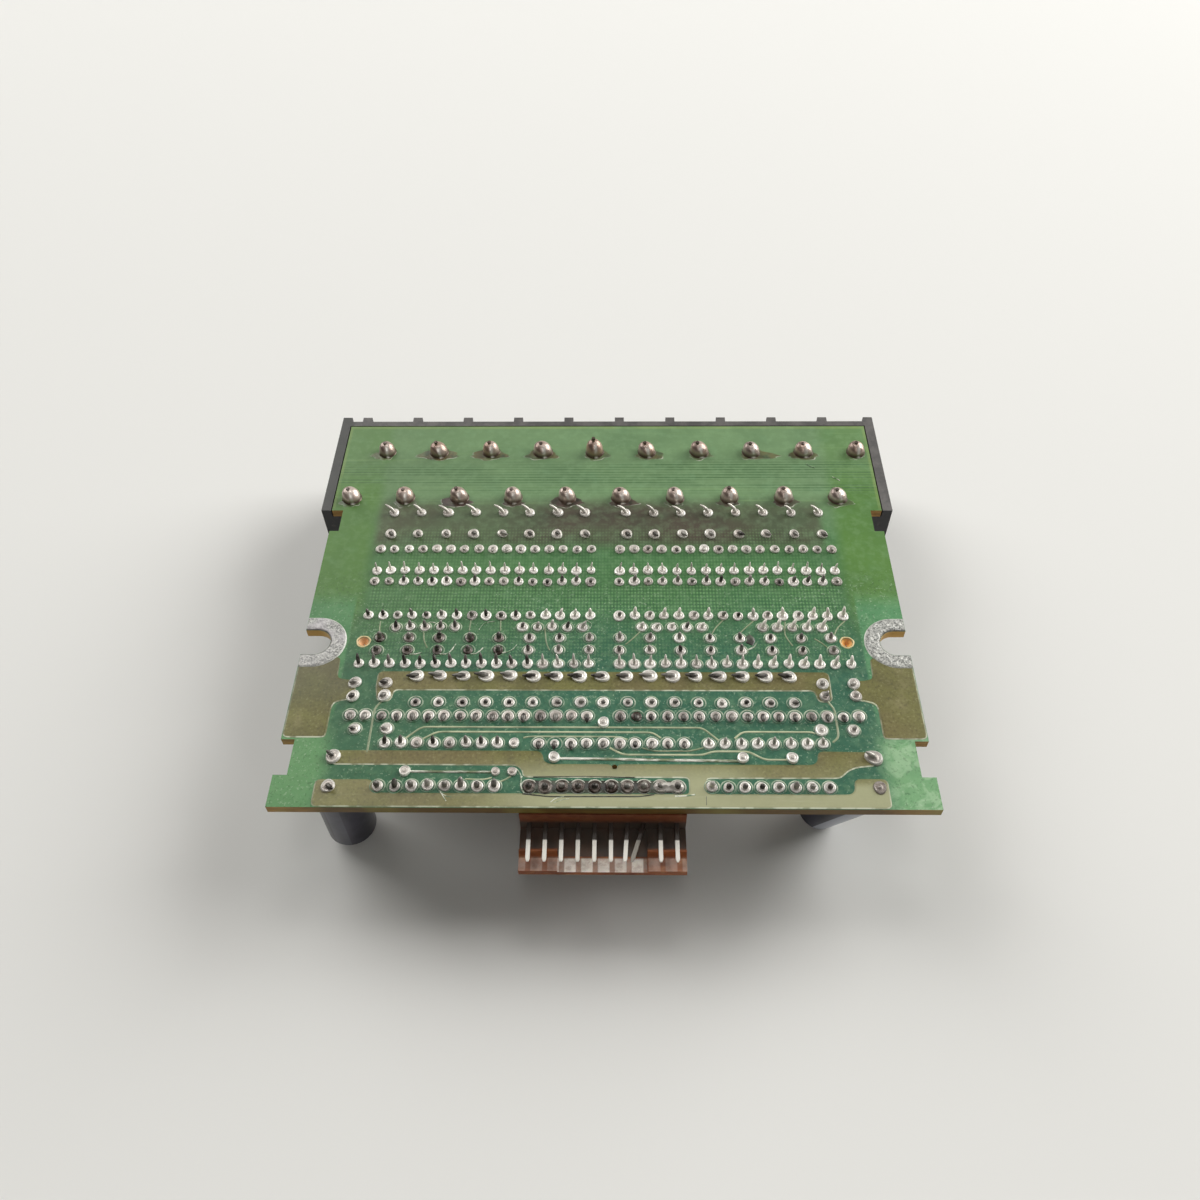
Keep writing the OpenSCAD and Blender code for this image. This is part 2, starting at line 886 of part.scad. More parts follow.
if (drawn("board")) board();
if (drawn("slot_land_left")) mirror([1, 0, 0]) slot_land();
if (drawn("slot_land_right")) slot_land();
if (drawn("block_housing")) block_housing();
if (drawn("terminals_outer"))
    terminals(outer_x, under - outer_floor, tier_y + 0.8, wall_y - 0.5, outer_pin_y, outer_screw_y);
if (drawn("terminals_inner"))
    terminals(inner_x, under - inner_floor, block_y + rib_t + 0.2, tier_y - 0.3, inner_pin_y, inner_screw_y);
if (drawn("clamps_outer")) clamps(outer_x, under - outer_floor - strip_t, outer_screw_y);
if (drawn("clamps_inner")) clamps(inner_x, under - inner_floor - strip_t, inner_screw_y);
if (drawn("screws_outer")) screws(outer_x, under - outer_floor - strip_t - clamp_t, outer_screw_y);
if (drawn("screws_inner")) screws(inner_x, under - inner_floor - strip_t - clamp_t, inner_screw_y);
if (drawn("header_housing")) header_housing();
if (drawn("header_pins")) header_pins();
if (drawn("header_pin_bent")) header_pin_bent();
if (drawn("can_left")) place_left() can();
if (drawn("sleeve_left")) place_left() sleeve();
if (drawn("can_right")) place_right() can();
if (drawn("sleeve_right")) place_right() sleeve();
if (drawn("can_bungs")) can_bungs();
if (drawn("can_leads")) can_leads();
for (i = [0:3])
    if (drawn(str("coupler_", i + 1))) chip(coupler_at[i], coupler_y);
if (drawn("coupler_legs")) coupler_legs();
if (drawn("logic_left")) chip(logic_at[0], logic_y);
if (drawn("logic_right")) chip(logic_at[1], logic_y);
if (drawn("logic_legs")) logic_legs();
for (i = [0:3]) {
    if (drawn(str("network_rear_", i + 1))) network(rear_network_at[i], rear_network_y, 5);
    if (drawn(str("network_middle_", i + 1))) network(coupler_at[i], middle_network_y, 8);
    if (drawn(str("network_front_", i + 1))) network(coupler_at[i], front_network_y, 8);
}
if (drawn("network_short")) network(short_network_at, logic_y[0], 10);
if (drawn("network_leads")) network_leads();
if (drawn("resistors")) resistors();
if (drawn("resistor_leads")) resistor_leads();
if (drawn("diodes")) diodes();
if (drawn("diode_leads")) diode_leads();
if (drawn("lamps")) lamps();
if (drawn("lamp_leads")) lamp_leads();
if (drawn("film_capacitors")) film_capacitors();
if (drawn("film_leads")) film_leads();
if (drawn("corner_capacitors")) corner_capacitors();
if (drawn("corner_leads")) corner_leads();
if (drawn("solder_block")) solder_block();
if (drawn("solder_header")) solder_header();
if (drawn("solder_rear")) solder_rear();
if (drawn("solder_middle")) solder_middle();
if (drawn("solder_front")) solder_front();
if (drawn("solder_vias")) solder_vias();
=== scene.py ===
import math

import bmesh
import bpy
import numpy as np
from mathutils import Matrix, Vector
from bpy.props import FloatProperty, FloatVectorProperty, PointerProperty


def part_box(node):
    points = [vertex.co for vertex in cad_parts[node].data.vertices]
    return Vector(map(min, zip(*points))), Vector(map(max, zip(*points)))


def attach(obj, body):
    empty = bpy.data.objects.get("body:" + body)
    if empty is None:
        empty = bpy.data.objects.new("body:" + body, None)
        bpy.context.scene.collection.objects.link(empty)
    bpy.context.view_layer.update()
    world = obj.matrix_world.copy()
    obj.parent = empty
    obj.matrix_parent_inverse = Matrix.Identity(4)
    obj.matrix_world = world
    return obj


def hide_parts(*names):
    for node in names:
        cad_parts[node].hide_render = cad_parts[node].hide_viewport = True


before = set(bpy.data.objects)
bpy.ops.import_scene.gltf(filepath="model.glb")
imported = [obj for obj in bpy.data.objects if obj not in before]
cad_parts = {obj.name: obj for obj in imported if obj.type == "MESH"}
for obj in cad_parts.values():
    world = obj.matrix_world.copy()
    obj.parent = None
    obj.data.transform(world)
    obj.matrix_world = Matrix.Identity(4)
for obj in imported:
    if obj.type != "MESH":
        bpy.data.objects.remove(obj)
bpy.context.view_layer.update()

bl_info = {
    "name": "Alarm indicator board",
    "version": (1, 0, 0),
    "blender": (4, 5, 0),
    "location": "View3D > Sidebar > Alarm board",
    "description": "Joints, copper, lands, pins and finishes of an alarm indicator board, and its stage",
    "category": "Add Mesh",
}

MM = 0.001
GRID = 2.54 * MM
BOARD_LOW, BOARD_HIGH = (np.array(corner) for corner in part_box("board"))
TOP = float(BOARD_HIGH[2])
UNDER = float(BOARD_LOW[2])
ROW_ZERO = float(BOARD_LOW[1]) + 36.65 * MM
SET_OUT = ROW_ZERO + 4.2 * MM  # the line that the finishes are set out from
SUNK = 0.01 * MM  # how far the foot of a thin piece goes into the board


def colour(red, green, blue):
    """A colour written as 0 to 255 display values, turned into the linear values that shaders take."""
    value = np.array([red, green, blue]) / 255
    return tuple(np.where(value <= 0.04045, value / 12.92, ((value + 0.055) / 1.055) ** 2.4).tolist())


# ---------------------------------------------------------------- places on the board


def on_board(x, y):
    """Places on the solder side in metres, from grid steps: x from the middle, y from the reference row."""
    x, y = np.broadcast_arrays(np.asarray(x, float), np.asarray(y, float))
    return np.stack([x * GRID, ROW_ZERO + y * GRID], -1)


def both_sides(first, last, step=1.0):
    """Grid steps from first to last and their mirror images, left to right."""
    right = np.arange(first, last + step / 2, step)
    return np.concatenate([-right[::-1], right])


def about(centre, count):
    """Grid steps of a group of leads round its middle."""
    return centre + np.arange(count) - (count - 1) / 2


# ---------------------------------------------------------------- meshes


def circle(sides):
    """Turns of evenly spaced points round a circle."""
    return np.linspace(0, 2 * math.pi, sides, endpoint=False)


def facing_out(turn):
    """Unit vectors at the given turns, in the board's plane."""
    return np.stack([np.cos(turn), np.sin(turn)], -1)


def at_height(places, z):
    """Places on the board with a height added, one row of X, Y and Z each."""
    return np.column_stack([places, np.full(len(places), z)])


def per_point(values, items, each):
    """Attribute values for every point: a value given once for each item is repeated over its points."""
    arrays = {key: np.asarray(value, float) for key, value in values.items()}
    return {
        key: np.repeat(value, each) if value.shape == (items,) else value
        for key, value in arrays.items()
    }


def tubes(body, values, first=None, last=None):
    """Closed tubes from their rings of points, items x rings x sides x 3, with a pole at both ends.

    A quad joins points k and k + 1 of one ring to the same points of the next, and the poles take
    triangles. A pole that isn't given is the middle of its ring."""
    items, rings, sides, _ = body.shape
    first = body[:, 0].mean(1) if first is None else first
    last = body[:, -1].mean(1) if last is None else last
    points = np.concatenate([first[:, None], body.reshape(items, -1, 3), last[:, None]], 1).reshape(-1, 3)
    each = rings * sides + 2
    ring, side = np.meshgrid(np.arange(rings - 1), np.arange(sides), indexing="ij")
    near = 1 + ring * sides + side
    far = 1 + ring * sides + (side + 1) % sides
    quads = np.stack([near, far, far + sides, near + sides], -1).reshape(-1, 4)
    k = np.arange(sides)
    end = 1 + (rings - 1) * sides
    first_fan = np.stack([0 * k, 1 + (k + 1) % sides, 1 + k], -1)
    last_fan = np.stack([0 * k + each - 1, end + k, end + (k + 1) % sides], -1)
    shift = np.arange(items)[:, None, None] * each
    faces = [(quads + shift).reshape(-1, 4), (np.concatenate([first_fan, last_fan]) + shift).reshape(-1, 3)]
    return points, faces, per_point(values, items, each)


def loops(body, values):
    """Closed beads: as tubes, but the last ring is joined to the first and there are no poles."""
    items, rings, sides, _ = body.shape
    ring, side = np.meshgrid(np.arange(rings), np.arange(sides), indexing="ij")
    near, far = ring * sides + side, ring * sides + (side + 1) % sides
    up = ((ring + 1) % rings) * sides
    quads = np.stack([near, up + side, up + (side + 1) % sides, far], -1).reshape(-1, 4)
    quads = (quads + np.arange(items)[:, None, None] * rings * sides).reshape(-1, 4)
    return body.reshape(-1, 3), [quads], values


def put_piece(name, shells, material, stands_for=(), crease=50, turn_out=False):
    """Makes one mesh of several shells, in place, and lets it ride on the board.

    Shells are (points, faces, values): faces is a list of index arrays with one row for each face,
    and values holds one number per point under each attribute's name."""
    points, blocks, start = [], [], 0
    for shell_points, faces, _ in shells:
        points.append(shell_points)
        blocks += [block + start for block in faces]
        start += len(shell_points)
    points = np.concatenate(points)
    sizes = np.concatenate([np.full(len(block), block.shape[1]) for block in blocks])
    corners = np.concatenate([block.ravel() for block in blocks]).astype(np.int32)
    mesh = bpy.data.meshes.new(name)
    mesh.vertices.add(len(points))
    mesh.vertices.foreach_set("co", points.astype(np.float32).ravel())
    mesh.loops.add(len(corners))
    mesh.loops.foreach_set("vertex_index", corners)
    mesh.polygons.add(len(sizes))
    mesh.polygons.foreach_set("loop_start", np.concatenate([[0], np.cumsum(sizes)[:-1]]).astype(np.int32))
    mesh.update(calc_edges=True)
    for key in shells[0][2]:
        values = np.concatenate([np.broadcast_to(v[key], len(p)) for p, _, v in shells])
        mesh.attributes.new(key, "FLOAT", "POINT").data.foreach_set("value", values.astype(np.float32))
    if turn_out:
        work = bmesh.new()
        work.from_mesh(mesh)
        bmesh.ops.recalc_face_normals(work, faces=work.faces)
        work.to_mesh(mesh)
        work.free()
    mesh.shade_smooth()
    mesh.set_sharp_from_angle(angle=math.radians(crease))
    mesh.validate()
    piece = bpy.data.objects.new(name, mesh)
    bpy.context.scene.collection.objects.link(piece)
    mesh.materials.append(material)
    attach(piece, "root")
    if stands_for:
        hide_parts(*stands_for)
    return piece


def rounded(corners, radius, steps=4):
    """An outline with its corners rounded: each corner becomes a quadratic curve that starts and ends
    one radius away from it, or a bit under half a side away where the side is short."""
    corners = np.asarray(corners, float)
    into = corners - np.roll(corners, 1, 0)
    out = np.roll(corners, -1, 0) - corners
    into_length = np.linalg.norm(into, axis=1, keepdims=True)
    out_length = np.linalg.norm(out, axis=1, keepdims=True)
    start = corners - into / into_length * np.minimum(radius, 0.45 * into_length)
    end = corners + out / out_length * np.minimum(radius, 0.45 * out_length)
    s = np.linspace(0, 1, steps)[None, :, None]
    curve = (1 - s) ** 2 * start[:, None] + 2 * s * (1 - s) * corners[:, None] + s**2 * end[:, None]
    return curve.reshape(-1, 2)


def softened_path(corners, radius, steps=4):
    """An open line with its inner corners rounded as in rounded, and its two ends kept."""
    corners = np.asarray(corners, float)
    if len(corners) == 2:
        return corners
    inner = rounded(corners, radius, steps).reshape(len(corners), steps, 2)[1:-1]
    return np.concatenate([corners[:1], inner.reshape(-1, 2), corners[-1:]])


def outward(outline):
    """Unit normals of a closed outline that runs anticlockwise: the mean direction turned a quarter right."""
    along = np.roll(outline, -1, 0) - np.roll(outline, 1, 0)
    along /= np.linalg.norm(along, axis=1, keepdims=True)
    return np.stack([along[:, 1], -along[:, 0]], -1)


def anticlockwise(outline):
    """The outline, turned round if its signed area is negative."""
    x, y = outline[:, 0], outline[:, 1]
    area = np.sum(x * np.roll(y, -1) - y * np.roll(x, -1))
    return outline if area > 0 else outline[::-1]


def raised_plate(outline, lift, slope, seed):
    """A thin plate on the board: its top is the outline at the height of lift, and its side slopes out below.

    Edge is 1 along the rim and 0 one slope inside it; near is how much the rim faces the header side."""
    outline = anticlockwise(outline)
    normal = outward(outline)
    count = len(outline)
    rings = [(outline + normal * slope, -SUNK), (outline, lift), (outline - normal * slope, lift * 1.05)]
    points = np.concatenate([at_height(line, TOP + z) for line, z in rings])
    k = np.arange(count)
    following = (k + 1) % count
    strip = np.stack([k, following, following + count, k + count], -1)
    sides = np.concatenate([strip, strip + count])
    top = (2 * count + k)[None, :]
    bottom = k[::-1][None, :]
    broken = 0.75 + 0.25 * np.sin(np.arange(count) * 2.3 + seed)
    near = np.clip(0.25 - normal[:, 1], 0, 1) * broken
    values = {"edge": np.repeat([0.8, 1.0, 0.0], count), "near": np.concatenate([near, near, 0 * near])}
    return points, [sides, top, bottom], values


def ribbon(path, width, lift, tone=1.0):
    """A low arch carried along a path, half an ellipse in section and lift high, closed at both ends."""
    path = np.asarray(path, float)
    along = np.gradient(path, axis=0)
    along /= np.linalg.norm(along, axis=1, keepdims=True)
    across = np.stack([along[:, 1], -along[:, 0]], -1)
    angle = np.linspace(0, math.pi, 6)
    reach = np.append(np.cos(angle), 0.0) * width / 2
    rise = np.append(np.sin(angle) ** 0.7 * lift, -SUNK)
    body = np.empty((1, len(path), 7, 3))
    body[0, :, :, :2] = path[:, None] + across[:, None] * reach[None, :, None]
    body[0, :, :, 2] = TOP + rise
    return tubes(body, {"tone": tone})


def ribbons(marks, corner, lift):
    """Ribbons along lines in grid steps, with corner, width and lift in mm. A mark without a tone has 1."""
    return [
        ribbon(softened_path(on_board(*np.transpose(line)), corner * MM), width * MM, lift * MM, *tone)
        for line, width, *tone in marks
    ]


# ---------------------------------------------------------------- shader nodes


class Nodes:
    """Short ways to add nodes to one tree. A value is a constant or another node's output."""

    def __init__(self, tree):
        self.tree = tree

    def feed(self, socket, value):
        if isinstance(value, bpy.types.NodeSocket):
            self.tree.links.new(value, socket)
        elif socket.type == "RGBA":
            socket.default_value = (*value, 1.0)
        else:
            socket.default_value = value

    def add(self, kind, inputs=None, **settings):
        node = self.tree.nodes.new("ShaderNode" + kind)
        for key, value in settings.items():
            setattr(node, key, value)
        for key, value in (inputs or {}).items():
            self.feed(node.inputs[key], value)
        return node

    def math(self, operation, a, b=0.0, c=0.0, clamp=False):
        return self.add("Math", {0: a, 1: b, 2: c}, operation=operation, use_clamp=clamp).outputs[0]

    def times(self, *values):
        result = values[0]
        for value in values[1:]:
            result = self.math("MULTIPLY", result, value)
        return result

    def plus(self, a, b, clamp=False):
        return self.math("ADD", a, b, clamp=clamp)

    def minus(self, a, b):
        return self.math("SUBTRACT", a, b)

    def absolute(self, a):
        return self.math("ABSOLUTE", a)

    def greatest(self, a, b):
        return self.math("MAXIMUM", a, b)

    def waves(self, a, per_metre):
        return self.math("SINE", self.times(a, per_metre))

    def place(self):
        """Object coordinates, which are metres in the part's frame."""
        return self.add("TexCoord").outputs["Object"]

    def axes(self, vector=None):
        return self.add("SeparateXYZ", {0: vector or self.place()}).outputs

    def noise(self, scale, detail=3.0, rough=0.55, vector=None, warp=0.0):
        inputs = {
            "Vector": vector or self.place(), "Scale": scale, "Detail": detail, "Roughness": rough,
            "Distortion": warp,
        }
        return self.add("TexNoise", inputs).outputs["Fac"]

    def facing(self):
        """The axes of the direction that the surface faces."""
        return self.axes(self.add("NewGeometry").outputs["Normal"])

    def grain(self, scale, detail=3.0, rough=0.6, turn=(0, 0, 0)):
        """Noise with a scale of its own along each axis."""
        inputs = {"Vector": self.place(), "Scale": scale, "Rotation": turn}
        return self.noise(1.0, detail, rough, self.add("Mapping", inputs).outputs[0])

    def between(self, value, low, high, start=0.0, end=1.0):
        """Start below low, end above high, and a smooth step between them."""
        inputs = {"Value": value, "From Min": low, "From Max": high, "To Min": start, "To Max": end}
        return self.add("MapRange", inputs, interpolation_type="SMOOTHSTEP").outputs[0]

    def within(self, value, low, high, soft):
        """1 between low and high, and 0 outside, with soft edges."""
        rise = self.between(value, low - soft, low + soft)
        return self.times(rise, self.between(value, high - soft, high + soft, 1.0, 0.0))

    def cloud(self, scale, low, high, start=0.0, end=1.0, **settings):
        """Noise that runs from start to end between two of its levels."""
        return self.between(self.noise(scale, **settings), low, high, start, end)

    def past(self, value, low, high, start=0.0, end=1.0):
        """The same as between, with low and high in millimetres."""
        return self.between(value, low * MM, high * MM, start, end)

    def band(self, value, low, high, soft):
        """The same as within, in millimetres."""
        return self.within(value, low * MM, high * MM, soft * MM)

    def mix(self, share, a, b):
        """A colour between a and b. Its sockets go by number: share 0, colours 6 and 7, and result 2."""
        return self.add("Mix", data_type="RGBA", inputs={0: share, 6: a, 7: b}).outputs[2]

    def lay(self, share, over):
        """Lays a colour over the tint so far."""
        self.tint = self.mix(share, self.tint, over)

    def ramp(self, value, stops):
        node = self.add("ValToRGB", {0: value})
        ramp = node.color_ramp
        while len(ramp.elements) < len(stops):
            ramp.elements.new(0.5)
        for element, (position, tint) in zip(ramp.elements, stops):
            element.position = position
            element.color = (*tint, 1.0)
        return node.outputs[0]

    def attribute(self, name):
        return self.add("Attribute", attribute_name=name).outputs["Fac"]

    def spread(self, name, noise, middle, amount):
        """An attribute with noise spread round it, kept between 0 and 1."""
        return self.plus(self.attribute(name), self.times(self.minus(noise, middle), amount), clamp=True)

    def bump(self, height, strength, distance):
        inputs = {"Height": height, "Strength": strength, "Distance": distance}
        return self.add("Bump", inputs).outputs[0]


class Finish(Nodes):
    """A material with one Principled shader. Fixed values go straight onto the shader's own sockets."""

    def __init__(self, name, **fixed):
        self.material = bpy.data.materials.new(name)
        self.material.use_nodes = True
        super().__init__(self.material.node_tree)
        self.shader = self.tree.nodes["Principled BSDF"]
        self.paint(**fixed)

    def paint(self, **values):
        for key, value in values.items():
            self.feed(self.shader.inputs[key.replace("_", " ")], value)
        return self.material

    def cover(self, height, strength, depth):
        """Gives the shader the tint so far, and a bump of depth millimetres."""
        return self.paint(Base_Color=self.tint, Normal=self.bump(height, strength, depth * MM))


def dress(node, material):
    """Gives a CAD node its finish."""
    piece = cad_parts[node]
    if piece.material_slots:
        for material_slot in piece.material_slots:
            material_slot.material = material
    else:
        piece.data.materials.append(material)


# ---------------------------------------------------------------- settings


def shade(name, description, red, green, blue):
    """A colour setting, from display values."""
    default = colour(red, green, blue)
    return FloatVectorProperty(name=name, description=description, subtype="COLOR", size=3, default=default)


def length(name, description, millimetres):
    return FloatProperty(name=name, description=description, unit="LENGTH", default=millimetres * MM)


def power(name, description, watts):
    return FloatProperty(name=name, description=description, unit="POWER", default=watts)


class MaskSettings(bpy.types.PropertyGroup):
    """Colours of the green mask and the laminate."""

    rear: shade("Rear", "Mask near the terminal block", 112, 143, 101)
    middle: shade("Middle", "Mask between the chip rows", 68, 114, 66)
    front: shade("Front", "Mask near the plug header", 48, 99, 76)
    side: shade("Side strips", "Mask over bare laminate beside the rows", 86, 128, 56)
    slot: shade("Slot strips", "Mask over bare laminate beside the slots", 84, 142, 96)
    corner: shade("Front corners", "Mask on the two front corners", 108, 160, 108)
    scorch: shade("Heat stain", "Mask darkened by the power resistors", 78, 68, 58)
    copper: shade("Covered copper", "Mask over copper areas", 110, 108, 52)
    edge: shade("Cut laminate", "Sawn and drilled edges of the laminate", 186, 144, 74)
    copper_lift: length("Copper height", "Height of the copper above the laminate", 0.06)


class SolderSettings(bpy.types.PropertyGroup):
    """Colours of the solder joints, and sizes of the terminal pins' joints."""

    bright: shade("Bright solder", "Clean solder", 255, 253, 246)
    dull: shade("Dull solder", "Solder with a film of flux", 130, 114, 102)
    burnt: shade("Burnt flux", "Joints with burnt flux", 52, 38, 30)
    # the dark lead colour is partly tarnish and partly painted shade on leads that face away from the light
    wire_dark: shade("Dark lead", "Tarnished lead ends", 36, 30, 26)
    wire_bright: shade("Bright lead", "Clean lead ends", 250, 245, 234)
    block_height: length("Terminal joint height", "Height of a terminal pin's joint", 2.05)
    block_radius: length("Terminal joint radius", "Radius of a terminal pin's joint on the board", 1.66)


class PlasticSettings(bpy.types.PropertyGroup):
    """Colours of the mouldings and the small parts."""

    block: shade("Terminal block", "Dark moulded plastic", 46, 46, 50)
    header: shade("Plug header", "Amber-brown nylon", 150, 84, 40)
    sleeve: shade("Capacitor sleeve", "Dark shrink sleeve", 64, 62, 76)
    stripe: shade("Sleeve stripe", "Pale stripe that marks one lead", 168, 172, 184)
    chip: shade("Chips", "Moulded epoxy", 34, 34, 37)
    network: shade("Networks", "Dipped epoxy", 128, 62, 36)
    film: shade("Film capacitors", "Moulded boxes", 206, 158, 60)
    disc: shade("Disc capacitors", "Dipped discs", 206, 142, 66)
    lamp: shade("Lamps", "Tinted lens", 190, 26, 22)


class StageSettings(bpy.types.PropertyGroup):
    """Camera, lights and floor."""

    camera_place: FloatVectorProperty(
        name="Camera place", description="Where the camera stands", subtype="TRANSLATION", unit="LENGTH",
        size=3, default=(0.002036, -0.115823, 0.162524),
    )
    camera_turn: FloatVectorProperty(
        name="Camera turn", description="How the camera is turned", subtype="EULER", unit="ROTATION", size=3,
        default=(0.680644, 0.011153, 0.011003),
    )
    lens: FloatProperty(
        name="Lens", description="Focal length in millimetres on a 36 mm sensor", default=31.84
    )
    sky: FloatProperty(name="Sky", description="Strength of the even light from all round", default=0.07)
    left_power: power("Left lamp", "Power of the soft lamp behind and left of the board", 19.6)
    right_power: power("Right lamp", "Power of the soft lamp behind and right of the board", 38.2)
    top_power: power("Top lamp", "Power of the small lamp over the board", 0.95)
    strip_power: power("Strip lamp", "Power of the narrow strip lamp over the camera", 1.3)
    floor: shade("Floor", "Plain pale floor", 228, 228, 225)


# ---------------------------------------------------------------- the green mask


# radians in a metre: threads of 0.57 mm and 0.75 mm, and level lines 0.7 mm apart
CLOTH_X, CLOTH_Y, LINES_Y = 11023.0, 8378.0, 9000.0


def mask_colour_group(look):
    """Node group with the mask's colour and bump at each place on the board.

    The colour runs from the header side to the terminal side, turns yellower over the bare side strips,
    paler on the front corners, and brown where the power resistors stand."""
    tree = bpy.data.node_groups.get("green mask")
    if tree:
        return tree
    tree = bpy.data.node_groups.new("green mask", "ShaderNodeTree")
    tree.interface.new_socket("Color", in_out="OUTPUT", socket_type="NodeSocketColor")
    tree.interface.new_socket("Height", in_out="OUTPUT", socket_type="NodeSocketFloat")
    n = Nodes(tree)
    x, y, _ = n.axes()
    y = n.minus(y, SET_OUT)
    wide = n.noise(55.0, 3.0, 0.6)
    fine = n.noise(900.0, 2.0, 0.5)
    reach = n.absolute(n.plus(x, n.times(n.minus(wide, 0.5), 4 * MM)))
    along = n.plus(y, n.times(n.minus(wide, 0.5), 14 * MM))
    span = n.between(along, float(BOARD_LOW[1]) - SET_OUT, float(BOARD_HIGH[1]) - SET_OUT)
    span.node.interpolation_type = "LINEAR"
    front, middle, rear = look.front, look.middle, look.rear
    stops = [(0.0, front), (0.3, front), (0.5, middle), (0.62, middle), (0.76, rear), (1.0, rear)]
    n.tint = n.ramp(span, stops)
    beside = n.times(n.past(reach, 40.8, 44), n.past(y, -12, -1))
    n.lay(n.times(beside, n.past(y, 34, 24, 0.45, 0.95)), look.side)
    by_slot = n.times(n.past(n.absolute(x), 42.9, 43.5), n.past(y, 2, -3), n.past(y, -27, -21))
    n.lay(n.times(by_slot, 0.9), look.slot)
    in_corner = n.times(n.past(reach, 41.5, 45.5), n.past(along, -30, -24, 1.0, 0.0))
    n.lay(n.times(in_corner, 0.95), look.corner)
    # painted reflection: pale glints on the wrinkled mask of the right front corner
    pale = n.times(in_corner, n.past(x, 0.0, 1), n.cloud(330.0, 0.42, 0.6, 0.15, 0.75, rough=0.6, warp=1.2))
    n.lay(pale, colour(160, 194, 154))
    # the heat stain, strongest in its middle and broken up
    stain = n.times(
        n.band(y, 11.8, 22.8, 2.2),
        n.band(x, -42, 39.5, 1.0),
        n.cloud(38.0, 0.30, 0.62, 0.62, 0.97, rough=0.6, warp=0.6),
    )
    n.lay(stain, look.scorch)
    # the glass cloth shows between the chip rows, and level lines near the terminals
    weave = n.times(n.plus(n.waves(x, CLOTH_X), n.waves(y, CLOTH_Y)), 0.5)
    inside = n.past(reach, 41.8, 40.6)
    woven = n.greatest(n.band(y, -3.2, 2.8, 0.7), n.times(n.band(y, -14, 16, 1.5), 0.5))
    woven = n.times(woven, inside, n.cloud(120.0, 0.3, 0.7, 0.35, 1.0, detail=2.0, rough=0.5))
    lines = n.waves(y, LINES_Y)
    lined = n.times(n.band(y, 25.5, 34, 1.2), n.between(n.grain((20, 420, 1)), 0.36, 0.6))
    n.lay(n.times(woven, n.between(weave, 0.0, 0.8), 0.5), colour(132, 180, 116))
    n.lay(n.times(woven, n.between(weave, -0.1, -0.8), 0.4), colour(38, 74, 44))
    n.lay(n.times(lined, n.between(lines, -0.2, 0.6), 0.7), colour(62, 98, 58))
    streak = n.between(n.grain((14, 900, 1), 4.0, 0.65), 0.55, 0.75)
    n.lay(n.times(streak, n.band(y, 22, 44, 1), 0.45), colour(136, 170, 112))
    border = n.greatest(n.past(n.absolute(x), 50.5, 50.8), n.past(y, 43.1, 43.4))
    border = n.times(border, n.past(y, 20, 22), n.cloud(160.0, 0.3, 0.6, 0.4, 1.0))
    n.lay(n.times(border, 0.42), colour(150, 168, 98))
    # patches a little lighter and darker
    n.lay(n.cloud(110.0, 0.35, 0.75, 0.0, 0.22, detail=4.0, rough=0.62), colour(36, 76, 50))
    n.lay(n.cloud(310.0, 0.5, 0.8, 0.0, 0.12, detail=2.0, rough=0.5), colour(124, 168, 128))
    n.lay(n.between(fine, 0.4, 0.75, 0.0, 0.14), colour(150, 186, 140))
    glint = n.times(
        n.cloud(2500.0, 0.58, 0.72, detail=2.0, rough=0.6), n.past(y, 8, 2),
        n.cloud(90.0, 0.35, 0.6, 0.4, 1.0),
    )
    n.lay(n.times(glint, 0.42), colour(186, 208, 178))
    pit = n.times(n.cloud(2100.0, 0.44, 0.32, detail=2.0, rough=0.6), n.past(y, 8, 2))
    n.lay(n.times(pit, 0.35), colour(34, 62, 42))
    # painted shade: the mask is darker and yellower towards the left, to offset the left lamp's sheen
    n.lay(n.past(x, 0.0, -50, 0.0, 0.3), colour(62, 94, 36))
    wrinkle = n.times(
        n.noise(420.0, 3.0, 0.6, warp=1.4), n.past(x, 40, 46, 0.25, 1.0), n.past(y, -24, -31, 0.3, 1.0)
    )
    height = n.plus(n.times(wrinkle, 1.6), n.times(fine, 0.35))
    height = n.plus(height, n.times(n.times(woven, weave), 0.3))
    out = tree.nodes.new("NodeGroupOutput")
    tree.links.new(n.tint, out.inputs["Color"])
    tree.links.new(height, out.inputs["Height"])
    return tree


def mask_node(finish, look):
    """The mask's colour and height, as outputs in a finish's own tree."""
    node = finish.tree.nodes.new("ShaderNodeGroup")
    node.node_tree = mask_colour_group(look)
    return node.outputs["Color"], node.outputs["Height"]


# ---------------------------------------------------------------- board


class BOARD_OT_laminate(bpy.types.Operator):
    """Finishes the laminate: green mask on its faces, tan glass laminate on its cut edges"""

    bl_idname = "board.laminate"
    bl_label = "Laminate"

    def execute(self, context):
        look = context.scene.board_mask
        n = Finish("masked laminate", Roughness=0.4, Specular_IOR_Level=0.28)
        n.tint, height = mask_node(n, look)
        x, y, z = n.axes()
        y = n.minus(y, SET_OUT)
        grain = n.grain((260, 260, 2600))
        cut = n.mix(n.between(grain, 0.3, 0.7, 0.1, 0.6), look.edge, colour(96, 74, 32))
        by_corner = n.times(n.past(y, -38, -40), n.past(n.absolute(x), 41, 47, 0.75, 0.1))
        cut = n.mix(by_corner, cut, colour(72, 56, 22))
        cut = n.mix(n.cloud(95.0, 0.45, 0.7, 0.0, 0.5), cut, colour(150, 148, 76))
        in_slot = n.times(n.past(n.absolute(x), 44, 45), n.band(y, -13, -7, 0.3))
        cut = n.mix(n.times(in_slot, 0.6), cut, colour(224, 184, 104))
        facing = n.absolute(n.facing()[2])
        on_face = n.between(facing, 0.35, 0.65)
        below = n.between(z, UNDER + 0.2 * MM, UNDER + 0.4 * MM, 1.0, 0.0)
        n.lay(n.times(below, 0.85), colour(48, 104, 66))
        bump = n.bump(n.plus(height, n.times(grain, 0.3)), 0.35, 0.05 * MM)
        dress("board", n.paint(Base_Color=n.mix(on_face, cut, n.tint), Normal=bump))
        return {"FINISHED"}


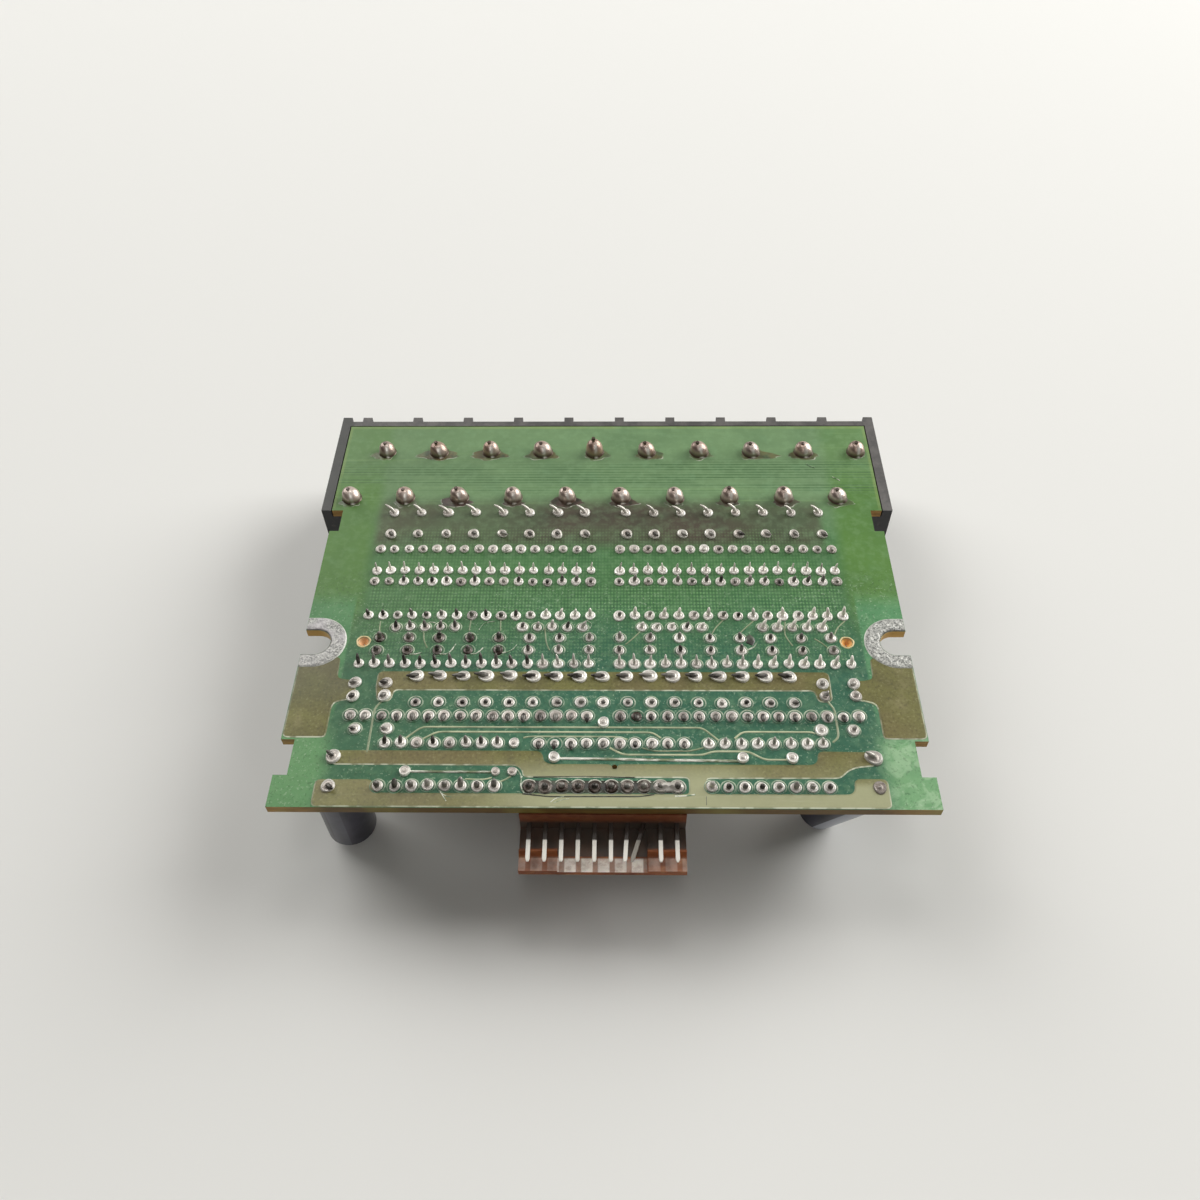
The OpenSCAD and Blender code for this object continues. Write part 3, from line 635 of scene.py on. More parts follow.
SIDE_AREA = [
    (-19.92, -3.6), (-17.35, -3.5), (-17.3, -5.15), (-16.8, -5.3), (-16.0, -5.35), (-16.0, -6.75),
    (-16.75, -6.85), (-17.15, -7.02), (-17.3, -7.4), (-17.3, -9.45), (-17.42, -9.58), (-19.92, -9.58),
]
MIDDLE_BUS = [
    (-14.62, -4.66), (14.45, -4.66), (14.45, -6.85), (13.6, -6.9), (13.45, -6.04), (-13.45, -6.04),
    (-13.6, -6.9), (-14.4, -6.9), (-14.62, -5.9),
]
FRONT_BUS = [
    (-16.6, -10.58), (-3.95, -10.58), (-3.72, -10.85), (-3.68, -11.25), (-3.3, -11.5), (0.48, -11.5),
    (0.5, -11.84), (0.9, -11.84), (0.92, -11.5), (12.75, -11.5), (13.08, -11.2), (13.14, -10.55),
    (16.4, -10.6), (16.6, -11.45), (15.3, -11.6), (14.75, -11.85), (14.4, -12.2), (14.1, -12.35),
    (6.15, -12.38), (6.15, -13.5), (14.75, -13.5), (15.05, -13.2), (15.1, -12.6), (15.3, -12.45),
    (17.0, -12.45), (17.0, -14.34), (-17.3, -14.34), (-17.3, -12.6), (-13.9, -12.6), (-13.85, -13.5),
    (5.2, -13.52), (5.2, -12.33), (-4.8, -12.33), (-4.87, -11.85), (-5.25, -11.52), (-16.6, -11.5),
]


class BOARD_OT_copper_areas(bpy.types.Operator):
    """Lays the wide copper areas that show olive through the mask"""

    bl_idname = "board.copper_areas"
    bl_label = "Copper areas"

    def execute(self, context):
        look = context.scene.board_mask
        n = Finish("mask over copper", Roughness=0.42, Specular_IOR_Level=0.4)
        _, height = mask_node(n, look)
        x, y, _ = n.axes()
        y = n.minus(y, SET_OUT)
        dark = n.cloud(95.0, 0.35, 0.72, detail=4.0, rough=0.65, warp=0.8)
        n.tint = n.mix(n.times(dark, 0.6), look.copper, colour(78, 72, 36))
        n.lay(n.cloud(60.0, 0.42, 0.66, 0.0, 0.55, rough=0.6), colour(112, 98, 62))
        n.lay(n.cloud(260.0, 0.5, 0.8, 0.0, 0.45, rough=0.6), colour(140, 132, 92))
        speck = n.noise(2300.0, 2.0, 0.6)
        n.lay(n.between(speck, 0.55, 0.75, 0.0, 0.2), colour(186, 182, 138))
        n.lay(n.between(speck, 0.46, 0.32, 0.0, 0.42), colour(60, 56, 30))
        left = n.times(n.past(x, -40, -43), n.past(y, -25, -18))
        n.lay(n.times(left, 0.36), colour(70, 76, 62))
        # painted reflection: the front bus is painted pale and streaked where its mask catches the light,
        # stronger towards the right
        to_right = n.greatest(n.past(x, 26, 18, 0.3, 1.0), n.past(y, -35.5, -37.5, 0.0, 0.95))
        glare = n.times(n.past(y, -31, -37), n.past(x, -24, -6, 0.2, 1.0), to_right)
        n.lay(n.times(glare, 0.8), colour(172, 174, 138))
        streak = n.between(n.grain((60, 700, 1), 4.0, 0.7), 0.52, 0.72, 0.0, 0.4)
        n.lay(n.times(streak, glare), colour(186, 188, 160))
        # painted highlight: a pale, broken line along the rims that face the header side
        rim = n.times(
            n.attribute("edge"), n.attribute("near"), n.cloud(500.0, 0.4, 0.6, 0.25, 1.0, detail=2.0)
        )
        n.lay(n.times(n.attribute("edge"), 0.35), colour(70, 84, 46))
        n.lay(n.times(rim, 1.5), colour(216, 220, 196))
        material = n.cover(n.plus(height, n.noise(700.0, 2.0)), 0.35, 0.05)
        mirror = [(-x_step, y_step) for x_step, y_step in SIDE_AREA]
        shells = [
            raised_plate(
                rounded(on_board(*np.transpose(outline)), 0.8 * MM), look.copper_lift, 0.16 * MM, seed
            )
            for seed, outline in enumerate((SIDE_AREA, mirror, MIDDLE_BUS, FRONT_BUS))
        ]
        put_piece("copper_areas", shells, material, crease=80)
        return {"FINISHED"}


MASKED_TRACKS = [
    # grid steps along each track, its width in mm, and how pale it shows
    ([(-12.35, -9.75), (-11.35, -8.83), (6.15, -8.83), (7.1, -9.75)], 0.34, 0.75),
    ([(-11.25, -9.75), (-10.35, -9.18), (3.05, -9.18), (3.55, -9.6)], 0.34, 0.85),
    ([(8.1, -9.6), (8.6, -9.12), (12.9, -9.12), (13.3, -9.3)], 0.34, 0.9),
    ([(-4.95, -9.6), (-4.6, -9.5), (0.9, -9.5), (1.5, -9.7)], 0.3, 0.6),
    (
        [
            (0.4, -10.3), (1.2, -10.78), (6.1, -10.78), (6.7, -10.52), (8.9, -10.52), (9.8, -11.1),
            (11.2, -11.1),
        ],
        0.36, 0.9,
    ),
    ([(2.4, -10.3), (3.1, -10.52), (5.4, -10.5), (6.2, -10.25)], 0.3, 0.45),
    ([(-14.1, -6.9), (-14.5, -7.45), (-14.5, -10.7)], 0.36, 0.3),
    ([(14.15, -6.85), (14.52, -7.45), (14.52, -9.5), (14.1, -9.85)], 0.36, 0.5),
    ([(-6.35, -12.75), (-5.9, -12.55), (-5.55, -12.3)], 0.3, 0.8),
    ([(-8.3, -12.5), (-7.2, -12.55), (-6.7, -12.4)], 0.26, 0.8),
    ([(-15.1, -0.5), (-15.1, -1.2), (-14.9, -1.7)], 0.24, 0.3),
    ([(-12.1, -1.2), (-12.0, -2.1), (-11.7, -2.7)], 0.24, 0.35),
    ([(-9.0, -0.3), (-9.05, -1.3)], 0.24, 0.25),
    ([(-7.0, -0.4), (-6.95, -1.3)], 0.24, 0.25),
    ([(-4.0, -1.0), (-3.85, -2.3), (-3.6, -2.9)], 0.24, 0.35),
    ([(8.0, -0.3), (7.4, -1.0), (7.1, -1.6)], 0.24, 0.35),
    ([(10.0, -0.4), (9.3, -1.1), (8.9, -1.6)], 0.24, 0.35),
    ([(12.1, -0.5), (11.95, -1.6), (12.4, -2.5)], 0.24, 0.35),
    ([(16.1, -0.4), (15.5, -1.0), (15.2, -1.7)], 0.24, 0.4),
    ([(2.4, -1.3), (1.9, -1.9), (1.4, -2.4)], 0.24, 0.35),
    ([(13.9, -1.9), (14.4, -2.3), (14.8, -2.8)], 0.24, 0.4),
    ([(16.3, -6.75), (16.95, -6.95), (17.15, -7.1)], 0.3, 0.9),
]
TINNED_TRACKS = [
    # both ends in grid steps, and the width in mm
    ((-2.9, -11.05), (8.4, -11.2), 0.5),
    ((-11.9, -12.0), (-6.6, -12.02), 0.42),
]


class BOARD_OT_tracks(bpy.types.Operator):
    """Lays the narrow tracks: those under the mask, and two that the solder has run over"""

    bl_idname = "board.tracks"
    bl_label = "Tracks"

    def execute(self, context):
        look = context.scene.board_mask
        n = Finish("mask over tracks", Roughness=0.34, Specular_IOR_Level=0.5)
        n.tint, height = mask_node(n, look)
        pale = n.times(n.attribute("tone"), n.cloud(330.0, 0.3, 0.65, 0.45, 1.0, detail=2.0))
        n.lay(0.3, colour(118, 112, 62))
        n.lay(pale, colour(204, 208, 172))
        masked = n.cover(height, 0.3, 0.04)
        put_piece("masked_tracks", ribbons(MASKED_TRACKS, 0.9, 0.07), masked, crease=70)

        n = Finish("tinned tracks", Metallic=0.7, Roughness=0.32)
        patch = n.between(n.grain((260, 900, 1)), 0.38, 0.6)
        n.tint = n.mix(patch, colour(128, 138, 108), colour(232, 232, 220))
        tinned = n.cover(n.noise(800.0), 0.5, 0.06)
        shells = [
            ribbon(on_board(*np.linspace(start, end, 60).T), width * MM, 0.14 * MM)
            for start, end, width in TINNED_TRACKS
        ]
        put_piece("tinned_tracks", shells, tinned, crease=70)
        return {"FINISHED"}


# ---------------------------------------------------------------- small joints


FULL = both_sides(1, 16)
RESISTOR = both_sides(1.5, 15.5, 2.0)
LAMP = both_sides(1, 15, 2.0)
FILM = np.arange(-12, 12.1, 1.5)
CHANCE = np.random.default_rng(41)
FILLET_SHARE = 0.68  # a fillet stands at this share of the height that its row gives


def joint_row(
    y, xs, radius, height, bulge, wire, tip, tone, wire_tone, burn=0.0, ring=0.0, trail=0.0,
    other=None, share=0.0,
):
    """One row of joints: its place in grid steps, sizes in mm, and tones from 0 to 1.

    Tip is how far a lead's clipped end stands from the hole along X, Y and Z, and trail is how far the
    solder has run along the lead. A share of the joints takes the values in other instead. Each joint is
    then varied a little by seeded chance."""
    count = len(xs)
    pick = CHANCE.random(count) < share
    own = dict(radius=radius, height=height, bulge=bulge, wire=wire, tip=tip)
    own.update(tone=tone, wire_tone=wire_tone, burn=burn, trail=trail)
    row = {"ring": np.full(count, ring)}
    for key, value in own.items():
        second = (other or {}).get(key, value)
        choose = pick[:, None] if key == "tip" else pick
        row[key] = np.where(choose, np.asarray(second, float), np.asarray(value, float))
    jitter = CHANCE.normal(size=(count, 8))
    row["centre"] = on_board(xs, y) + jitter[:, :2] * 0.05 * MM
    row["radius"] = row["radius"] * MM * (1 + 0.05 * jitter[:, 2])
    row["height"] = row["height"] * FILLET_SHARE * MM * (1 + 0.08 * jitter[:, 3])
    row["wire"] = row["wire"] * MM
    row["trail"] = row["trail"] * MM * (1 + 0.12 * jitter[:, 3])
    row["tip"] = (row["tip"] + jitter[:, 4:7] * np.array([0.13, 0.10, 0.12])) * MM
    row["tone"] = np.clip(row["tone"] + 0.09 * jitter[:, 7], 0, 1)
    row["burn"] = np.clip(row["burn"] + 0.12 * jitter[:, 0], 0, 1) * (row["burn"] > 0)
    row["wire_tone"] = np.clip(row["wire_tone"] + 0.10 * jitter[:, 1], 0, 1)
    return row


def join_rows(rows):
    return {key: np.concatenate([row[key] for row in rows]) for key in rows[0]}


def fillets(row, sides=14):
    """Solder fillets on their lands, each with the solder in its hole.

    From the rim to the lead a flat fillet runs up a steep edge to its full height, dips a little, and
    climbs the lead; a hollow one has the radius radius - (radius - wire) sin s and the height 1 - cos s
    of the whole, at an angle s. Bulge blends the two. The outline is nearly a circle, a little longer
    along Y, with two and three low lobes; the top leans a little towards the lead and is painted darker
    as painted shade round the lead, and the half under the lead is drawn out by the trail."""
    items = len(row["radius"])
    s = np.radians([0.0, 14.0, 34.0, 58.0, 76.0, 86.0])
    wide, thin = (row[key][:, None] for key in ("radius", "wire"))
    thin = thin * 1.2
    flat_r = thin + (wide - thin) * np.array([1.0, 0.97, 0.80, 0.46, 0.12, 0.0])
    flat_z = np.array([0.0, 0.62, 1.0, 0.74, 0.86, 1.2])
    hollow_r, hollow_z = wide - (wide - thin) * np.sin(s), 1 - np.cos(s)
    blend = 0.4 + 0.6 * row["bulge"][:, None]
    r = blend * flat_r + (1 - blend) * hollow_r
    z = (blend * flat_z + (1 - blend) * hollow_z) * row["height"][:, None]
    turn = circle(sides)
    phase = np.random.default_rng(5).random((items, 2, 1)) * 2 * math.pi
    lobes = 1 + 0.03 * np.sin(2 * turn + phase[:, 0]) + 0.03 * np.sin(3 * turn + phase[:, 1])
    rings = np.empty((items, 7, sides, 3))
    flat = np.stack([np.cos(turn), 1.07 * np.sin(turn)], -1)
    rings[:, 0, :, :2] = flat * 0.4 * MM
    rings[:, 0, :, 2] = UNDER - TOP
    rings[:, 1:, :, :2] = r[:, :, None, None] * lobes[:, None, :, None] * flat
    rings[:, 1:, :, 2] = z[:, :, None]
    rings[:, 1, :, 2] = -0.02 * MM
    lean = row["tip"][:, None, :2] * 0.08 * np.minimum(z / row["height"][:, None], 1.0)[..., None] ** 2
    rings[:, 1:, :, :2] += lean[:, :, None]
    heading = row["tip"][:, :2] / (np.linalg.norm(row["tip"][:, :2], axis=1, keepdims=True) + 1e-9)
    ahead = np.einsum("irsk,ik->irs", rings[:, 1:, :, :2], heading)
    run = (ahead > 0) * ahead / wide[:, :, None] * row["trail"][:, None, None]
    rings[:, 1:, :, :2] += run[..., None] * heading[:, None, None]
    base = at_height(row["centre"], TOP)
    rings += base[:, None, None]
    # painted shade: the tone of the top rings is lowered round the lead
    shade_by_lead = np.concatenate([[1.0], np.repeat([1.0, 1.0, 1.0, 0.9, 0.4, 0.55, 0.3], sides), [0.3]])
    values = {"tone": (row["tone"][:, None] * shade_by_lead).ravel(), "burn": row["burn"], "wire": 0.0}
    last = rings[:, -1].mean(1) + np.array([0, 0, 0.04 * MM])
    return tubes(rings, values, base + np.array([0, 0, UNDER - TOP]), last)


def lead_ends(row, sides=8):
    """Clipped leads. Each runs along a quadratic curve that leaves its joint upwards and ends at its tip;
    a ring of the lead's radius stands square to the curve at each step, and the cut end is slightly domed."""
    items = len(row["wire"])
    tip = row["tip"]
    s = np.array([0.0, 0.45, 0.78, 1.0])[None, :, None]
    start = np.zeros((items, 1, 3))
    start[:, 0, 2] = row["height"] * 0.5
    knee = tip[:, None] * np.array([0.18, 0.18, 0.0])
    knee[:, 0, 2] = np.maximum(row["height"] * 0.9, tip[:, 2] * 0.72)
    end = tip[:, None]
    line = (1 - s) ** 2 * start + 2 * s * (1 - s) * knee + s**2 * end
    along = 2 * (1 - s) * (knee - start) + 2 * s * (end - knee)
    along /= np.linalg.norm(along, axis=-1, keepdims=True)
    level = np.stack([-tip[:, 1], tip[:, 0] + 1e-7, 0 * tip[:, 0]], -1)[:, None]
    level /= np.linalg.norm(level, axis=-1, keepdims=True)
    second = np.cross(along, level)
    turn = circle(sides)
    taper = np.array([1.2, 1.3, 1.0, 0.4])[None, :, None, None]
    spoke = level[:, :, None] * np.cos(turn)[:, None] + second[:, :, None] * np.sin(turn)[:, None]
    body = line[:, :, None] + spoke * row["wire"][:, None, None, None] * taper
    base = at_height(row["centre"], TOP)
    body += base[:, None, None]
    values = {"tone": row["wire_tone"], "burn": 0.0, "wire": 1.0}
    return tubes(body, values, base + start[:, 0], base + tip + along[:, -1] * 0.03 * MM)


def land_rims(row, sides=22):
    """Rims of mask round the lands: a low bead carried round a circle, with a painted highlight that is
    strongest on its far side.
    """
    keep = row["ring"] > 0
    centre, radius = row["centre"][keep], row["ring"][keep] * MM
    items = len(centre)
    turn = circle(sides)
    offset = np.array([-0.12, -0.06, 0.06, 0.12]) * MM
    rise = np.array([-0.01, 0.07, 0.07, -0.01]) * MM
    body = np.empty((items, 4, sides, 3))
    wide = radius[:, None, None] + offset[None, :, None]
    body[..., :2] = wide[..., None] * facing_out(turn) + centre[:, None, None]
    body[..., 2] = TOP + rise[None, :, None]
    far_highlight = 0.5 + 0.42 * np.sin(turn + 0.2) + 0.12 * np.sin(3 * turn + 1.0)
    far_highlight = far_highlight[None] * (0.7 + 0.3 * np.random.default_rng(9).random((items, 1)))
    return loops(body, {"tone": np.repeat(far_highlight[:, None], 4, 1).reshape(-1)})


# each row: Y and X in grid steps, then radius, height, bulge, wire, tip, tone, wire_tone, burn and ring
REAR_ROWS = [
    joint_row(9.55, RESISTOR, 0.92, 0.5, 1.0, 0.25, (-1.6, 0.5, 1.75), 0.8, 0.7, 0.02),
    joint_row(7.5, RESISTOR, 0.94, 0.55, 0.9, 0.31, (0.75, -1.1, 0.95), 0.7, 0.1, trail=0.25),
    joint_row(
        6, FULL, 0.92, 0.5, 0.8, 0.27, (0.1, -0.85, 0.75), 0.74, 0.2,
        other={"tip": (0.25, -0.6, 0.9), "tone": 0.62}, share=0.25,
    ),
    joint_row(4, FULL, 0.9, 0.5, 0.8, 0.15, (0.05, 0.3, 1.9), 1.0, 0.85),
]
MIDDLE_ROWS = [
    joint_row(
        3, FULL, 0.92, 0.45, 0.7, 0.27, (0.2, 0.4, 1.3), 0.88, 0.12,
        other={"tip": (0.1, -0.6, 0.85), "tone": 0.62, "burn": 0.15}, share=0.45,
    ),
    joint_row(
        0, FULL[:12], 0.94, 0.42, 0.7, 0.26, (0.0, 0.35, 1.4), 1.0, 0.06,
        other={"wire": 0.33, "tip": (0.0, -0.05, 1.0), "tone": 0.85, "burn": 0.08}, share=0.5,
    ),
    joint_row(0, FULL[12:16], 0.94, 0.42, 0.7, 0.24, (0.2, 0.5, 1.3), 0.95, 0.75),
    joint_row(
        0, FULL[16:], 0.94, 0.45, 0.7, 0.26, (0.1, 0.6, 1.6), 0.92, 0.85,
        other={"tip": (0.35, 0.1, 1.1), "tone": 0.75, "wire_tone": 0.2}, share=0.4,
    ),
    joint_row(-1, about(-12, 5), 0.86, 0.42, 0.6, 0.27, (0.05, 0.55, 1.3), 0.7, 0.05, 0.12, 1.08),
    joint_row(
        -1, about(-3.5, 5), 0.88, 0.42, 0.6, 0.25, (0.3, 0.4, 1.2), 0.88, 0.5, 0.06, 1.08,
        other={"wire_tone": 0.1}, share=0.35,
    ),
    joint_row(
        -1, about(4.5, 5), 0.88, 0.42, 0.6, 0.25, (0.4, 0.3, 1.1), 0.88, 0.65, 0.06, 1.08,
        other={"wire_tone": 0.1}, share=0.3,
    ),
    joint_row(-1, about(12.5, 5), 0.88, 0.42, 0.6, 0.27, (0.6, 0.9, 1.5), 0.85, 0.95, 0.06, 1.08),
    joint_row(-1.9, LAMP[:5], 0.92, 0.5, 0.4, 0.34, (0.1, 0.25, 1.4), 0.45, 0.08, 0.45, 1.14),
    joint_row(-1.9, LAMP[5:], 0.88, 0.45, 0.5, 0.27, (0.0, 0.3, 1.3), 0.72, 0.12, 0.1, 1.08),
    joint_row(-2.9, LAMP[:5], 0.94, 0.5, 0.4, 0.34, (0.1, 0.1, 1.3), 0.35, 0.08, 0.6, 1.16),
    joint_row(-2.9, LAMP[5:], 0.88, 0.45, 0.5, 0.27, (0.0, 0.2, 1.3), 0.7, 0.16, 0.15, 1.08),
    joint_row(-4, FULL[:12], 0.92, 0.42, 0.8, 0.26, (-0.05, 0.7, 1.8), 1.0, 0.04),
    joint_row(-4, FULL[12:25], 0.9, 0.42, 0.7, 0.2, (-0.05, 0.8, 1.7), 0.8, 0.65, 0.05, 1.06),
    joint_row(-4, FULL[25:], 0.92, 0.42, 0.8, 0.26, (0.2, 0.75, 1.65), 0.98, 0.9),
]
FRONT_ROWS = [
    joint_row(-5, FILM, 1.05, 0.6, 0.9, 0.34, (-2.05, 0.05, 0.6), 1.0, 0.02, trail=0.45),
    joint_row(
        -7, FILM, 0.9, 0.4, 0.7, 0.32, (0.5, -0.2, 0.55), 0.9, 0.03, 0.04, 1.18,
        other={"tip": (0.2, 0.1, 0.6), "wire_tone": 0.6}, share=0.3,
    ),
    joint_row(-5.5, [-16, -14], 1.0, 0.75, 0.6, 0.36, (-0.9, -0.6, 0.9), 0.85, 0.1, 0.1, trail=0.45),
    joint_row(-5.5, [14, 16], 1.0, 0.75, 0.6, 0.32, (-0.5, -0.6, 0.9), 0.8, 0.3, 0.1, trail=0.2),
    joint_row(-6.5, [-16, -14], 1.0, 0.7, 0.9, 0.36, (-0.7, -0.7, 0.7), 0.96, 0.06, trail=0.25),
    joint_row(-6.5, [14, 16], 0.98, 0.7, 0.7, 0.32, (0.4, 0.5, 0.8), 0.8, 0.25, 0.1),
    joint_row(
        -8, FULL, 0.95, 0.4, 0.5, 0.36, (0.0, -1.2, 0.5), 0.62, 0.0, 0.1, 1.2,
        other={"tone": 0.45, "burn": 0.2}, share=0.35,
    ),
    joint_row(-9, [-15.5, -13.5], 0.95, 0.5, 0.8, 0.28, (-0.8, -0.1, 0.6), 0.95, 0.15, ring=1.14),
    joint_row(-9, [13.5, 15.5], 0.95, 0.5, 0.8, 0.28, (0.3, 0.3, 0.6), 0.9, 0.3, ring=1.14),
    joint_row(
        -10, about(-10, 8), 0.92, 0.42, 0.7, 0.28, (0.05, 0.5, 1.4), 1.0, 0.05, ring=1.12,
        other={"tip": (0.1, -0.7, 0.6), "tone": 0.65, "burn": 0.15}, share=0.25,
    ),
    joint_row(-10, about(0.5, 10), 0.92, 0.4, 0.6, 0.34, (0.0, -1.15, 0.5), 0.85, 0.0, 0.04, 1.2),
    joint_row(
        -10, about(10, 8), 0.92, 0.42, 0.7, 0.23, (0.05, 0.4, 1.35), 0.96, 0.4, ring=1.12,
        other={"tip": (0.1, -0.6, 0.6), "tone": 0.65, "burn": 0.15}, share=0.25,
    ),
    joint_row(
        -13, about(-10, 8), 0.92, 0.45, 0.5, 0.36, (0.12, 0.4, 1.7), 0.85, 0.02, 0.15, 1.16,
        other={"tip": (0.0, -0.1, 1.3), "tone": 0.7}, share=0.3,
    ),
    joint_row(
        -13, about(10, 8), 0.92, 0.45, 0.5, 0.34, (0.1, -0.3, 1.0), 0.85, 0.08, 0.1, 1.16,
        other={"tip": (0.1, 0.2, 1.5), "wire_tone": 0.3}, share=0.3,
    ),
    joint_row(-11, [-16.5], 1.1, 0.7, 0.9, 0.32, (-1.0, 0.5, 1.0), 0.8, 0.12, 0.05),
    joint_row(-11, [16.5], 1.15, 0.7, 0.8, 0.32, (-1.5, 0.4, 1.0), 0.6, 0.3, 0.12, trail=0.4),
    joint_row(-13, [-16.5], 1.1, 0.6, 0.7, 0.34, (1.0, -0.8, 0.8), 0.68, 0.08, 0.15),
    joint_row(-13, [16.5], 1.1, 0.45, 0.9, 0.2, (0.0, 0.0, 0.4), 0.35, 0.3, 0.3),
]


def solder_material(look):
    """Solder and lead ends: bright, dull or burnt by the joint's own values, with pits and a film of flux."""
    material = bpy.data.materials.get("solder and leads")
    if material:
        return material
    n = Finish("solder and leads", Metallic=0.3, Roughness=0.38)
    cloud = n.noise(1000.0, 4.0, 0.65)
    tone = n.spread("tone", cloud, 0.42, 0.7)
    n.tint = n.mix(tone, look.dull, look.bright)
    # a darker foot on each fillet: partly the solder's dark edge, partly painted shade round the joint
    ring_z = n.minus(n.axes()[2], TOP)
    foot = n.times(n.past(ring_z, 0.02, 0.1, 1.0, 0.0), n.minus(1.0, n.attribute("wire")))
    n.lay(n.times(foot, 0.6), colour(84, 76, 66))
    singed = n.times(n.attribute("burn"), n.cloud(900.0, 0.3, 0.6, 0.7, 1.6, detail=2.0))
    n.lay(singed, look.burnt)
    # lead ends run from dark to bright by their tone; the dark end is partly tarnish and partly painted shade
    wire = n.mix(tone, look.wire_dark, look.wire_bright)
    n.lay(n.attribute("wire"), wire)
    return n.cover(n.noise(1700.0, 3.0, 0.7), 0.6, 0.07)


class BOARD_OT_small_joints(bpy.types.Operator):
    """Solders the rows of small leads, each row with its own fillet, bend of lead and amount of flux"""

    bl_idname = "board.small_joints"
    bl_label = "Small joints"

    def execute(self, context):
        material = solder_material(context.scene.board_solder)
        rims = []
        for name, rows, slot in (
            ("rear", REAR_ROWS, "solder"),
            ("middle", MIDDLE_ROWS, "solder_dull"),
            ("front", FRONT_ROWS, "solder"),
        ):
            row = join_rows(rows)
            put_piece("joints_" + name, [fillets(row), lead_ends(row)], material, ["solder_" + name])
            if (row["ring"] > 0).any():
                rims.append(land_rims(row))
        look = context.scene.board_mask
        n = Finish("rims of mask", Roughness=0.3, Specular_IOR_Level=0.5)
        n.tint, height = mask_node(n, look)
        # painted highlight on the rims, following their tone, strongest on the far side
        pale = n.times(n.attribute("tone"), n.cloud(700.0, 0.3, 0.62, 0.3, 1.0, detail=2.0))
        n.lay(pale, colour(206, 214, 190))
        put_piece("land_rims", rims, n.cover(height, 0.2, 0.03))
        return {"FINISHED"}


class BOARD_OT_header_joints(bpy.types.Operator):
    """Solders the plug header's pins, with burnt flux and a bridge between the last two"""

    bl_idname = "board.header_joints"
    bl_label = "Header joints"

    def execute(self, context):
        low, high = (np.array(corner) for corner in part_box("solder_header"))
        middle = (low + high) / 2
        reach = (high[1] - low[1]) / 2
        xs = np.linspace(low[0] + reach, high[0] - reach, 10)
        step = (middle[1] - ROW_ZERO) / GRID
        row = joint_row(step, xs / GRID, 1.02, 0.5, 0.7, 0.42, (0.05, 0.05, 0.9), 0.32, 0.06, 0.6, 1.22)
        row["burn"][-2:] = 0.1
        row["tone"][-2:] = 0.6
        # the bridge is a low dome stretched along X, with a waist halfway
        turn = circle(28)
        s = np.radians([0.0, 20.0, 42.0, 62.0, 80.0])[:, None]
        waist = 1 - 0.32 * np.sin(turn) ** 2
        bridge_x = xs[-2:].mean()
        body = np.empty((1, 5, 28, 3))
        body[0, ..., 0] = bridge_x + np.cos(s) * np.cos(turn) * 2.4 * MM
        body[0, ..., 1] = middle[1] + np.cos(s) * np.sin(turn) * waist * 1.2 * MM
        body[0, ..., 2] = TOP - 0.02 * MM + np.sin(s) * (0.6 + 0.25 * np.cos(2 * turn)) * MM
        first = np.array([[bridge_x, middle[1], TOP - 0.02 * MM]])
        values = {"tone": 0.5, "burn": 0.15, "wire": 0.0}
        bridge = tubes(body, values, first, first + np.array([0, 0, 0.48 * MM]))
        solder = solder_material(context.scene.board_solder)
        shells = [fillets(row), lead_ends(row), bridge]
        put_piece("joints_header", shells, solder, ["solder_header"])
        look = context.scene.board_mask
        n = Finish("burnt rims", Roughness=0.35, Specular_IOR_Level=0.5)
        n.tint, _ = mask_node(n, look)
        n.lay(0.7, colour(44, 36, 30))
        # painted highlight on each rim, strongest on its far side
        n.lay(n.times(n.attribute("tone"), 0.95), colour(226, 224, 210))
        put_piece("header_rims", [land_rims(row)], n.paint(Base_Color=n.tint))
        return {"FINISHED"}


def terminal_places():
    """Centres of the terminal pins' joints: the inner row of ten from left to right, then the outer row."""
    low, high = (np.array(corner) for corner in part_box("solder_block"))
    reach = 1.7 * MM
    step = (high[0] - low[0] - 2 * reach) / 19
    inner = np.stack([low[0] + reach + 2 * step * np.arange(10), np.full(10, low[1] + reach)], -1)
    outer = np.stack([low[0] + reach + step * (1 + 2 * np.arange(10)), np.full(10, high[1] - reach)], -1)
    return np.concatenate([inner, outer])


